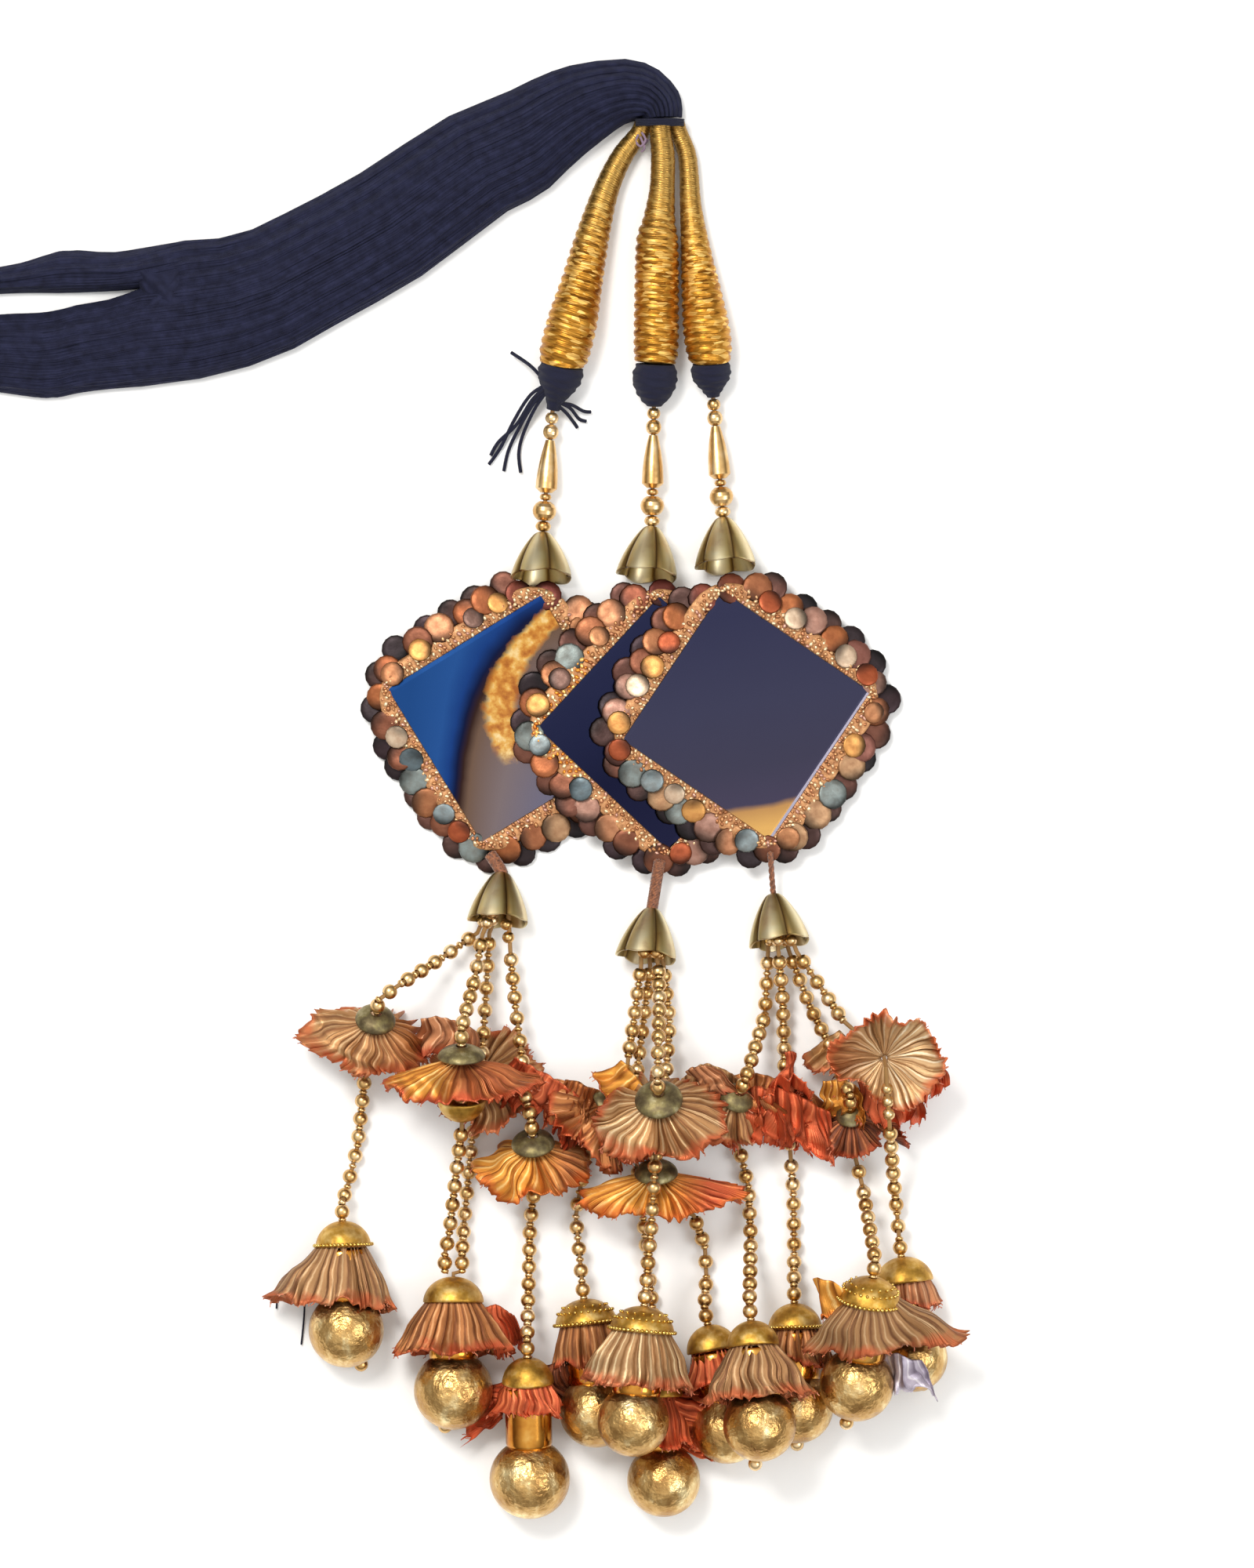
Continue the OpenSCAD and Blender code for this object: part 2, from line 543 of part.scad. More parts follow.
// Cup that closes one flower from below, open towards the flower
cup_flower = 1;
cup_drop = 10;
cup_size = 6.5;

module flower_cup() {
    rim = spot(FLOWERS[cup_flower]);
    aim(rim + cup_drop * flower_dir(cup_flower), rim) dome(cup_size, cup_size);
}

// End pieces

function end_dir(i) = heading(ENDS[i][4], ENDS[i][5]);
function end_apex(i) = spot(ENDS[i]) - ENDS[i][6] * end_dir(i);

module end_cap(i) {
    aim(end_apex(i), spot(ENDS[i])) dome(ENDS[i][7], dome_l);
}

// The skirt starts a little below the dome and hangs clear of the collar
module end_skirt(i) {
    e = ENDS[i];
    k = SKIRTS[i];
    top = dome_l + gap + e[7] * sin(k[0]);
    start = end_apex(i) + top * end_dir(i);
    rim = start + (k[3] - top) * heading(e[4] + k[0], e[5]);
    pleated(rim, e[4] + k[0], e[5], k[1], k[2], k[3] - top, e[8] + gap + ribbon_wall,
        k[5], k[6], k[4]);
}

// Ball with its collar tube, and the small bead that hangs under it
module end_ball(i) {
    e = ENDS[i];
    ball = spot(e);
    reach = e[3] + end_bead_r - 0.3;
    bead = ball + heading(e[9], -asin(e[10] / reach)) * reach;
    difference() {
        union() {
            translate(ball) sphere(r = e[3], $fn = 48);
            aim(end_apex(i) + (dome_l + gap) * end_dir(i), ball)
                cylinder(h = e[6] - dome_l - gap, r = e[8]);
            translate(bead) sphere(r = end_bead_r);
        }
        aim(end_apex(i), ball) cylinder(h = dome_l + 5, d = bore_d);
    }
}

// Bead strings

// The last bead before a dome lies on the dome's axis
last_bead = bead_pitch - 0.2;

// Way points above a flower: from the cap to the flower's top or to its dome
function way_in(i) = let(s = STRINGS[i], d = flower_dir(s[1]), domed = FLOWER_DOMES[s[1]] > 0,
    b = flower_apex(s[1]) - (gap + (domed ? dome_rise : 0)) * d)
    concat(s[4], domed ? [b - last_bead * d, b] : [b]);

// Way points below it: from the flower's mouth to the end piece
function way_out(i) = let(s = STRINGS[i], d = end_dir(s[2]),
    b = end_apex(s[2]) - (gap + abs(s[3]) / 2) * d + s[3] * across(ENDS[s[2]][4]))
    concat([spot(FLOWERS[s[1]]) + 1.5 * flower_dir(s[1])], s[5], [b - last_bead * d, b]);

// Round beads, each drilled, spread over one straight stretch
module bead_run(a, b) {
    count = floor(norm(b - a) / bead_pitch + 0.05);
    for (k = [0 : 1 : count - 1]) aim(mix(a, b, (k + 0.5) / count), b) difference() {
        sphere(d = bead_d, $fn = 16);
        translate([0, 0, -bead_d]) cylinder(h = 2 * bead_d, d = bore_d);
    }
}

// No beads inside a flower
module bead_string(i) {
    above = way_in(i);
    below = way_out(i);
    bare = FLOWER_DOMES[STRINGS[i][1]] > 0 ? 0 : 1;
    color("gold") {
        for (k = [0 : len(above) - 2 - bare]) bead_run(above[k], above[k + 1]);
        for (k = [1 : len(below) - 2]) bead_run(below[k], below[k + 1]);
    }
}

// The threads of a drop leave its knot side by side. Where two meet over one dome, one of
// them ends beside the other, which goes in.
module thread(i) {
    s = STRINGS[i];
    beside = (i % 4 - 1.5) * (thread_d + 0.2);
    from = knot_r + gap + 0.4;
    inner = knot_at(s[0]) + beside * [1, 0, 0] + sqrt(from * from - beside * beside) * drop_dir(s[0]);
    top = end_apex(s[2]);
    d = end_dir(s[2]);
    tail = s[3] < 0
        ? [top - 1.1 * d - (thread_d + 0.1) * across(ENDS[s[2]][4])]
        : [top - 0.8 * d, top + (dome_l + 2) * d];
    thread_run(concat([inner], way_in(i), [flower_apex(s[1])], way_out(i), tail));
}

// Rows of a table that belong to one drop
function strings_of(d) = [for (i = [0 : len(STRINGS) - 1]) if (STRINGS[i][0] == d) i];
function ends_of(d) = d == 0 ? [0 : 2] : d == 1 ? [3 : 6] : [7 : 10];

module threads(d) {
    color("darkgoldenrod") for (i = strings_of(d)) thread(i);
}

module flowers(d) {
    color("peru") for (i = strings_of(d)) flower(STRINGS[i][1]);
}

module flower_caps(d) {
    color("darkkhaki") {
        for (i = strings_of(d)) flower_dome(STRINGS[i][1]);
        if (d == 0) flower_cup();
    }
}

module end_caps(d) {
    color("goldenrod") for (i = ends_of(d)) end_cap(i);
}

module end_skirts(d) {
    color("peru") for (i = ends_of(d)) end_skirt(i);
}

module end_balls(d) {
    color("goldenrod") for (i = ends_of(d)) end_ball(i);
}

yarn_bundle();
yarn_binding();
link_threads();
hangers();
for (i = [0 : 2]) {
    arm(ARMS[i], TIP_END[i]);
    arm_tip(i);
    link_beads(i);
    petal_cap(TOP_APEX[i], TOP_MOUTH[i]);
    mirror_glass(i);
    mirror_frame(i);
    sequins(i);
    petal_cap(DROP_APEX[i], DROP_MOUTH[i]);
    threads(i);
    flowers(i);
    flower_caps(i);
    end_caps(i);
    end_skirts(i);
    end_balls(i);
}
for (i = [0 : 11]) bead_string(i);
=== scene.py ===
import math
from collections import namedtuple

import bpy
import numpy as np
from mathutils import Matrix, Vector


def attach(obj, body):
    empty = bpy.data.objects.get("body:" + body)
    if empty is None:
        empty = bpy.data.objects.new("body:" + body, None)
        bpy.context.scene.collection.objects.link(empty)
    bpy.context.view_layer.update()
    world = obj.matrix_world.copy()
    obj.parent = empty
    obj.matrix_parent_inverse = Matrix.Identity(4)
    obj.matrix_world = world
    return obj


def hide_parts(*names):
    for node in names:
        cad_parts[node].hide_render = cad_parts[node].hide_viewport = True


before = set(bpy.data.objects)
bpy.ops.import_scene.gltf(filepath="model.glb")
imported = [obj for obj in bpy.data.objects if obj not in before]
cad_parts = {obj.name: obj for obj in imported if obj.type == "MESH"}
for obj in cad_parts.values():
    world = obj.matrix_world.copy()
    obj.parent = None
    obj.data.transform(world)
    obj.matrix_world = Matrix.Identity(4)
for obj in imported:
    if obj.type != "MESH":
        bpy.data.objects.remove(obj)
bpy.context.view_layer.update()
mm = 0.001

# The view
# The tassel lies on a pale sheet under a camera that looks straight down on it. A light tent,
# bright overhead and dim at the sides, surrounds it, with soft boxes at its top left and right.
camera_height, focus_height = 3.0, 0.01
picture_height = 0.41667
view_middle = (0.04625, 0.00125)
bpy.ops.object.camera_add(location=(*view_middle, camera_height + focus_height))
camera = bpy.context.object
camera.data.lens = camera.data.sensor_width * camera_height / picture_height
camera.data.clip_end = 20
bpy.context.scene.camera = camera
bpy.context.scene.view_settings.view_transform = "Standard"


def soft_box(name, place, size, watts, warmth):
    """A square soft box that faces the middle of the tassel."""
    bpy.ops.object.light_add(type="AREA", location=place)
    box = bpy.context.object
    box.name = name
    box.rotation_euler = (Vector((0.04, 0, 0)) - Vector(place)).to_track_quat("-Z", "Y").to_euler()
    box.data.size = size
    box.data.energy = watts
    box.data.color = warmth


soft_box("key_box", (-0.42, 0.62, 1.5), 0.5, 20, (1.0, 0.98, 0.95))
soft_box("side_box", (1.0, -0.3, 1.2), 0.6, 7, (0.96, 0.98, 1.0))


def tint(code):
    """A screen colour such as c08040 as the linear colour that a shader takes."""
    parts = [int(code[i:i + 2], 16) / 255 for i in (0, 2, 4)]
    return tuple(p / 12.92 if p <= 0.04045 else ((p + 0.055) / 1.055) ** 2.4 for p in parts)


def paint(name, colour, **sockets):
    """A material with one shader, whose sockets are set by name."""
    material = bpy.data.materials.new(name)
    material.use_nodes = True
    shader = material.node_tree.nodes["Principled BSDF"]
    shader.inputs["Base Color"].default_value = (*tint(colour), 1)
    for key, value in sockets.items():
        shader.inputs[key.replace("_", " ")].default_value = value
    return material


def add(material, kind, inputs=None, **settings):
    """A node in the material, with its inputs set to values or linked to outputs."""
    tree = material.node_tree
    made = tree.nodes.new("ShaderNode" + kind)
    for key, value in settings.items():
        setattr(made, key, value)
    for key, value in (inputs or {}).items():
        if isinstance(value, bpy.types.NodeSocket):
            tree.links.new(value, made.inputs[key])
        else:
            made.inputs[key].default_value = value
    return made


def ramp(material, factor, stops):
    """Colours over a factor from 0 to 1; stops are place and screen colour."""
    made = add(material, "ValToRGB", {"Fac": factor})
    row = made.color_ramp.elements
    while len(row) < len(stops):
        row.new(0.5)
    for element, (place, code) in zip(row, stops):
        element.position = place
        element.color = (*tint(code), 1)
    return made.outputs["Color"]


surround = bpy.context.scene.world or bpy.data.worlds.new("surround")
bpy.context.scene.world = surround
surround.use_nodes = True


def split(material, vector):
    """The X, Y and Z of a vector."""
    return add(material, "SeparateXYZ", {"Vector": vector}).outputs


upward = split(surround, add(surround, "TexCoord").outputs["Generated"])["Z"]
tent = ramp(surround, upward, [(0.0, "6f665e"), (0.3, "8d877f"), (0.62, "d4d3d1"), (0.86, "ffffff"),
                               (1.0, "ffffff")])
surround.node_tree.links.new(tent, surround.node_tree.nodes["Background"].inputs["Color"])
surround.node_tree.nodes["Background"].inputs["Strength"].default_value = 1.15


def calc(material, operation, *values):
    """A sum such as ADD or MULTIPLY_ADD on values or outputs."""
    return add(material, "Math", dict(enumerate(values)), operation=operation).outputs["Value"]


def remapped(material, value, source=(0, 1), target=(0, 1)):
    """The value carried over from the source's range to the target's."""
    ends = {"From Min": source[0], "From Max": source[1], "To Min": target[0], "To Max": target[1]}
    return add(material, "MapRange", {"Value": value, **ends}).outputs["Result"]


def blend(material, factor, first, second, kind="MIX"):
    """Two colours mixed by a factor; the second may be a screen colour."""
    if isinstance(second, str):
        second = (*tint(second), 1)
    return add(material, "Mix", {"Factor": factor, 6: first, 7: second}, data_type="RGBA",
               blend_type=kind).outputs[2]


def coords(material, kind, scale=(1, 1, 1), turn=(0, 0, 0)):
    """Object or UV coordinates, scaled and turned."""
    source = add(material, "TexCoord").outputs[kind]
    return add(material, "Mapping", {"Vector": source, "Scale": scale, "Rotation": turn}).outputs["Vector"]


def noise(material, vector, scale, detail=3.0, rough=0.55):
    return add(material, "TexNoise", {"Vector": vector, "Scale": scale, "Detail": detail,
                                      "Roughness": rough}).outputs["Fac"]


def link(material, output, socket):
    """Leads an output to a socket of the material's shader."""
    material.node_tree.links.new(output, material.node_tree.nodes["Principled BSDF"].inputs[socket])


def rough_from(material, factor, low, high):
    """Roughness between two values by a factor."""
    link(material, remapped(material, factor, (0, 1), (low, high)), "Roughness")


def relief(material, height, strength, depth):
    """Bump of that depth in metres."""
    bump = add(material, "Bump", {"Height": height, "Strength": strength, "Distance": depth})
    link(material, bump.outputs["Normal"], "Normal")


def grain_relief(material, scale, strength, depth):
    """Bump from a fine grain."""
    relief(material, noise(material, coords(material, "Object"), scale), strength, depth)


def grained(name, colour, scale, detail, stops, rough=None, bump=None, **sockets):
    """A material whose colour runs over a grain, and so do its roughness and bump where given."""
    material = paint(name, colour, **sockets)
    grain = noise(material, coords(material, "Object"), scale, detail)
    link(material, ramp(material, grain, stops), "Base Color")
    if rough:
        rough_from(material, grain, *rough)
    if bump:
        relief(material, grain, *bump)
    return material


def dress(piece, material):
    piece.data.materials.clear()
    piece.data.materials.append(material)


table_top = paint("pale_sheet", "f4f4f3", Roughness=0.9)
grain_relief(table_top, 600, 0.05, 0.0002)
bpy.ops.mesh.primitive_plane_add(size=8, location=(0, 0, -0.0001))
floor = bpy.context.object
floor.name = "pale_floor"
dress(floor, table_top)

# Hank of yarn
# Soft navy cotton yarn that is plaited in with the hair. It is folded over the binding, lies
# in locks, and parts into a broad and a narrow tail. Rows are lower edge, upper edge, height.
hank_rows = np.array([
    [51.0, 178.6, 60.5, 178.6, 9.0], [50.5, 178.8, 60.5, 182.5, 9.5], [50.0, 179.0, 59.0, 186.5, 10.5],
    [49.0, 178.5, 54.0, 191.5, 11.5], [45.5, 177.5, 46.0, 194.0, 12.0], [40.5, 174.0, 32.5, 192.5, 12.5],
    [32.5, 167.5, 23.5, 189.5, 13.0], [23.5, 159.0, 13.0, 184.5, 13.5], [13.0, 153.5, -2.5, 178.0, 13.5],
    [-8.0, 137.5, -24.0, 164.0, 13.5], [-29.0, 125.5, -42.5, 154.0, 13.0],
    [-48.5, 115.0, -58.0, 147.0, 12.5], [-70.5, 109.0, -73.5, 145.5, 12.0]])
broad_tail = np.array([
    [-83.0, 107.6, -83.5, 132.8, 11.4], [-91.0, 107.0, -91.5, 130.0, 10.8],
    [-99.5, 106.0, -100.0, 128.5, 10.5], [-108.0, 104.5, -108.5, 126.5, 10.0],
    [-120.5, 106.0, -120.5, 126.0, 9.5], [-135.0, 108.0, -135.0, 124.0, 8.0]])
narrow_tail = np.array([
    [-84.0, 133.6, -84.5, 143.4, 9.5], [-91.0, 133.0, -91.5, 142.5, 8.5],
    [-104.0, 132.5, -104.0, 143.0, 8.0], [-116.0, 132.5, -116.0, 139.5, 7.0],
    [-135.0, 131.5, -135.0, 136.5, 6.0]])
tail_split = 0.7  # share of the strands in the broad tail
hank_locks, broad_locks, narrow_locks = 9, 6, 3
lock_valley = 1.0
hank_side = 0.05  # share of the way over the hank that its steep side takes
strand_floor = 0.35


def through(table, t):
    """Rows of a table read on a smooth curve, with t from 0 to 1 along it."""
    table = np.asarray(table, float)
    place = np.clip(np.asarray(t, float), 0, 1) * (len(table) - 1)
    i = np.minimum(place.astype(int), len(table) - 2)
    u = (place - i)[..., None]
    a, b = table[np.maximum(i - 1, 0)], table[i]
    c, d = table[i + 1], table[np.minimum(i + 2, len(table) - 1)]
    return 0.5 * (2 * b + u * (c - a) + u * u * (2 * a - 5 * b + 4 * c - d)
                  + u ** 3 * (3 * b - a - 3 * c + d))


def over_hank(table, locks, t, s, lift):
    """Point on the hank: t along it, s from one edge over its top to the other."""
    row = through(table, t)
    across = np.clip((s - hank_side) / (1 - 2 * hank_side), 0, 1)
    edge = np.minimum(np.clip(s / hank_side, 0, 1), np.clip((1 - s) / hank_side, 0, 1))
    arch = 0.3 + 0.7 * np.sin(np.pi * across) ** 0.7
    valley = lock_valley * 0.5 * (1 + np.cos(2 * np.pi * locks * across))
    lower, upper = row[..., 0:2], row[..., 2:4]
    flat = lower + (upper - lower) * across[..., None]
    height = (row[..., 4] * arch - valley) * edge + lift * edge + strand_floor
    return np.concatenate([flat, height[..., None]], axis=-1)


def rolled(name, columns, rows, place):
    """A grid rolled onto a surface: place takes columns and rows as shares from 0 to 1."""
    bpy.ops.object.select_all(action="DESELECT")
    bpy.ops.mesh.primitive_grid_add(x_subdivisions=columns, y_subdivisions=rows, size=1, location=(0, 0, 0))
    piece = bpy.context.object
    piece.name = name
    piece.data.name = name
    co = np.empty(len(piece.data.vertices) * 3)
    piece.data.vertices.foreach_get("co", co)
    co = co.reshape(-1, 3)
    piece.data.vertices.foreach_set("co", (place(co[:, 0] + 0.5, co[:, 1] + 0.5) * mm).ravel())
    bpy.ops.object.mode_set(mode="EDIT")
    bpy.ops.mesh.select_all(action="SELECT")
    bpy.ops.mesh.remove_doubles(threshold=1e-6)
    bpy.ops.mesh.normals_make_consistent(inside=False)
    bpy.ops.object.mode_set(mode="OBJECT")
    bpy.ops.object.shade_smooth()
    return piece


def thread_mesh(name, routes, radius, sides=0):
    """Threads along lists of points, each swept as a thin tube, made one mesh."""
    bpy.ops.object.select_all(action="DESELECT")
    line = bpy.data.curves.new(name, "CURVE")
    line.dimensions = "3D"
    line.bevel_depth = radius * mm
    line.bevel_resolution = sides
    line.use_fill_caps = True
    for route in routes:
        spline = line.splines.new("POLY")
        spline.points.add(len(route) - 1)
        spline.points.foreach_set("co", np.concatenate(
            [np.asarray(route) * mm, np.ones((len(route), 1))], axis=1).ravel())
    piece = bpy.data.objects.new(name, line)
    bpy.context.collection.objects.link(piece)
    piece.select_set(True)
    bpy.context.view_layer.objects.active = piece
    bpy.ops.object.convert(target="MESH")
    piece = bpy.context.object
    bpy.ops.object.shade_smooth()
    return piece


def fit(piece, material, nodes=()):
    """Gives a finished piece its paint and its place on the tassel, and hides the CAD nodes it stands in for.
    """
    dress(piece, material)
    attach(piece, "root")
    if nodes:
        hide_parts(*nodes)
    return piece


yarn_paint = paint("navy_yarn", "141526", Roughness=0.85, Sheen_Weight=0.05, Sheen_Roughness=0.5,
                   Sheen_Tint=(0.35, 0.38, 0.6, 1), Specular_IOR_Level=0.15)
yarn_streak = noise(yarn_paint, coords(yarn_paint, "Object", (60, 60, 60)), 6, 4)
link(yarn_paint, ramp(yarn_paint, yarn_streak, [(0.3, "161728"), (0.55, "1e2035"), (0.8, "262841")]),
     "Base Color")
grain_relief(yarn_paint, 2600, 0.35, 0.0002)

rng = np.random.default_rng(11)
top_share = 0.75
packed_lift, underside = -0.6, 0.3


def yarn_surface(table, locks, lead, steep):
    """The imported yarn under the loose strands: over the top, then back along the floor. It
    shrinks to its middle line at both ends; lead and steep say how soon."""
    def surface(u, t):
        under = u > top_share
        s = np.where(under, 1 - (u - top_share) / (1 - top_share), np.minimum(u / top_share, 1))
        shrink = np.minimum(1, np.minimum(t + lead, 1 - t) * steep + 0.02)
        body = over_hank(table, locks, t, s, packed_lift)
        body[under, 2] = underside
        middle = over_hank(table, locks, t, np.full_like(u, 0.5), packed_lift)
        middle[:, 2] *= 0.5
        return middle + (body - middle) * shrink[:, None]
    return surface


def strand(table, locks, t, share, lift, sway):
    """Points of a loose strand, which rises and sinks a little along its way."""
    return over_hank(table, locks, t, np.clip(share, 0.004, 0.996), lift + 0.2 * np.sin(9 * t + sway))


packed_yarn = [
    rolled(name, columns, rows, yarn_surface(table, locks, lead, steep))
    for name, columns, rows, table, locks, lead, steep in (
        ("yarn_hank", 96, 70, hank_rows, hank_locks, 0, 60),
        ("yarn_tail_broad", 64, 30, np.vstack([hank_rows[-1:], broad_tail]), broad_locks, 0.08, 30),
        ("yarn_tail_narrow", 36, 30, np.vstack([hank_rows[-1:], narrow_tail]), narrow_locks, 0.08, 30))]
strands = []
strand_count, strand_r = 640, 0.42
for k in range(strand_count):
    s0 = (k + 0.5 + rng.uniform(-0.4, 0.4)) / strand_count
    lift = rng.uniform(-0.55, 0.3)
    sway = rng.uniform(0, 2 * np.pi, 3)
    t = np.linspace(0.01, 0.985, 22)
    wander = s0 + 0.010 * np.sin(5 * t + sway[0]) + 0.006 * np.sin(13 * t + sway[1])
    in_hank = strand(hank_rows, hank_locks, t, wander, lift, sway[2])
    if s0 < tail_split:
        table, locks, share = broad_tail, broad_locks, s0 / tail_split
    else:
        table, locks, share = narrow_tail, narrow_locks, (s0 - tail_split) / (1 - tail_split)
    t = np.linspace(0.0, rng.uniform(0.9, 1.0), 10)
    in_tail = strand(table, locks, t, share + 0.012 * np.sin(7 * t + sway[1]), lift, sway[2])
    strands.append(np.vstack([in_hank, in_tail]))
fit(thread_mesh("yarn_strands", strands, strand_r), yarn_paint)
for piece in packed_yarn:
    fit(piece, yarn_paint, ["yarn_bundle"] if piece.name == "yarn_hank" else [])

# Binding
# Navy thread wound tightly round the folded yarn and the three arms, with the end of a mauve
# thread caught in it. It is built as wound turns over an oval.
binding_middle = np.array([55.0, 178.3, 5.3])
binding_half_x, binding_half_z, binding_width = 6.5, 5.0, 2.2
binding_turns = 5


def binding_surface(u, t):
    a = 2 * np.pi * u
    swell = 0.25 * np.abs(np.sin(np.pi * binding_turns * t)) - 0.15
    ends = np.minimum(1, np.minimum(t, 1 - t) * 12)
    x, z = (binding_half_x + swell) * ends * np.cos(a), (binding_half_z + swell) * ends * np.sin(a)
    return binding_middle + np.stack([x, 0.1 - binding_width * t, z], axis=1)


def smoothed(routes, count):
    """Routes with that many points on a smooth curve through the points given."""
    return [through(route, np.linspace(0, 1, count)) for route in routes]


thread_paint = paint("navy_thread", "1a1b2e", Roughness=0.8, Sheen_Weight=0.05, Specular_IOR_Level=0.2)
turn_lines = coords(thread_paint, "UV", (30, 6, 1), (0, 0, 0.6))
twist = add(thread_paint, "TexWave", {"Vector": turn_lines, "Scale": 2.0, "Distortion": 1.5},
            wave_type="BANDS").outputs["Fac"]
link(thread_paint, ramp(thread_paint, twist, [(0.2, "0f101c"), (0.7, "1b1c31"), (1.0, "282a45")]),
     "Base Color")
relief(thread_paint, twist, 0.5, 0.0002)
fit(rolled("binding_thread", 64, 56, binding_surface), thread_paint, ["yarn_binding"])
mauve_paint = paint("mauve_thread", "7a6478", Roughness=0.75, Sheen_Weight=0.3)
grain_relief(mauve_paint, 3000, 0.4, 0.0002)
mauve_curl = [[(50.2, 174.6, 6.0), (51.2, 172.6, 6.8), (49.9, 170.9, 6.4), (48.6, 172.3, 5.6),
               (49.3, 174.0, 6.3)],
              [(48.9, 173.8, 4.4), (50.6, 171.6, 4.6), (51.9, 172.8, 5.6)],
              [(49.8, 173.4, 6.9), (50.9, 170.6, 6.2), (50.1, 169.6, 5.2)]]
mauve_r = 0.32
fit(thread_mesh("mauve_thread_end", smoothed(mauve_curl, 14), mauve_r, 2), mauve_paint)

# Arms
# Each arm is a cotton core wound round and round with flat gilt thread: fine turns over
# coarse ribs on its thick part, plain close turns where it is thin. Rows are x, y, z, radius.
arm_rows = {
    "left": [[50.8, 177.6, 3.6, 2.7], [49.5, 174.5, 3.4, 2.7], [45.0, 168.5, 3.5, 3.1],
             [40.8, 159.6, 4.0, 3.6], [37.1, 147.1, 5.0, 4.6], [34.2, 134.6, 6.0, 5.6],
             [31.7, 124.2, 7.1, 6.7], [29.6, 115.8, 7.2, 6.7], [29.0, 112.6, 6.8, 5.8]],
    "middle": [[55.0, 177.6, 6.6, 3.0], [55.1, 174.5, 6.4, 3.0], [55.8, 167.9, 6.4, 3.4],
               [55.6, 159.6, 5.9, 3.6], [54.8, 151.2, 5.7, 4.5], [54.3, 146.0, 6.2, 5.6],
               [54.2, 136.7, 6.4, 5.9], [54.0, 117.9, 6.5, 6.0], [53.8, 112.9, 6.5, 5.4]],
    "right": [[59.2, 177.6, 3.6, 2.5], [60.2, 174.5, 3.2, 2.5], [62.4, 167.9, 3.2, 2.7],
              [63.2, 155.4, 3.6, 3.1], [64.6, 142.9, 4.8, 4.2], [66.0, 132.5, 5.8, 5.3],
              [67.4, 122.1, 6.7, 6.3], [68.2, 115.8, 6.6, 6.0], [68.4, 113.3, 6.2, 5.0]],
}
rib_pitch, rib_depth = 2.45, 0.55
fine_turns, fine_depth = 4, 0.16
thin_r, thick_r = 3.4, 5.0  # the ribs grow as the arm grows from thin to thick
arm_steps = 400


def unit(v):
    """The vectors at length 1."""
    return v / np.linalg.norm(v, axis=-1, keepdims=True)


def frames(d):
    """Two directions square to each direction d."""
    s = unit(np.cross(np.array([0.0, 0.0, 1.0]), d))
    return s, np.cross(d, s)


def about(a, s, w):
    """Directions at the angles a from s towards w."""
    return np.cos(a)[:, None] * s + np.sin(a)[:, None] * w


def distances(points):
    """Distance of each point along a row of points."""
    return np.concatenate([[0], np.cumsum(np.linalg.norm(np.diff(points, axis=0), axis=1))])


def arm_surface(table):
    """Surface of an arm with its ribs and turns, and the rows that the ribs need."""
    shares = np.linspace(0, 1, arm_steps)
    run = distances(through(table, shares)[:, :3])
    ribs = run[-1] / rib_pitch

    def surface(u, t):
        at = np.interp(t * run[-1], run, shares)
        p, ahead, behind = through(table, at), through(table, at + 0.004), through(table, at - 0.004)
        s, w = frames(unit(ahead[:, :3] - behind[:, :3]))
        a = 2 * np.pi * u
        thick = np.clip((p[:, 3] - thin_r) / (thick_r - thin_r), 0.15, 1)
        wobble = 0.10 * np.sin(3 * a + 9 * t)
        rib = np.abs(np.sin(np.pi * (ribs * t + u + wobble)))
        turn = np.abs(np.sin(np.pi * fine_turns * (ribs * t + u)))
        r = p[:, 3] - 0.25 + thick * rib_depth * (rib - 0.5) + fine_depth * (turn - 0.5)
        r = r * np.minimum(1, np.minimum(t, 1 - t) * 150 + 0.02)
        return p[:, :3] + r[:, None] * about(a, s, w)
    return surface, int(ribs * 16)


gilt_paint = paint("gilt_thread", "c98a1c", Metallic=0.9, Roughness=0.34)
gilt_uv = coords(gilt_paint, "UV", (9, 60, 1), (0, 0, 0.03))
glint = add(gilt_paint, "TexVoronoi", {"Vector": gilt_uv, "Scale": 1.6, "Randomness": 1.0}).outputs["Color"]
flake = add(gilt_paint, "SeparateColor", {"Color": glint}).outputs["Red"]
gilt_tone = ramp(gilt_paint, flake, [(0.0, "8f5c1c"), (0.35, "b27a28"), (0.7, "c8923a"), (1.0, "f2cc78")])
gilt_high = split(gilt_paint, coords(gilt_paint, "Object"))["Y"]
gilt_worn = remapped(gilt_paint, gilt_high, (0.138, 0.16), (0, 0.85))  # dull where the arms are thin
link(gilt_paint, blend(gilt_paint, gilt_worn, gilt_tone, "96763c"), "Base Color")
rough_from(gilt_paint, flake, 0.3, 0.55)
relief(gilt_paint, flake, 0.45, 0.0006)
for side, table in arm_rows.items():
    surface, rows = arm_surface(table)
    fit(rolled(f"gilt_arm_{side}", 30, rows, surface), gilt_paint, [f"arm_{side}"])

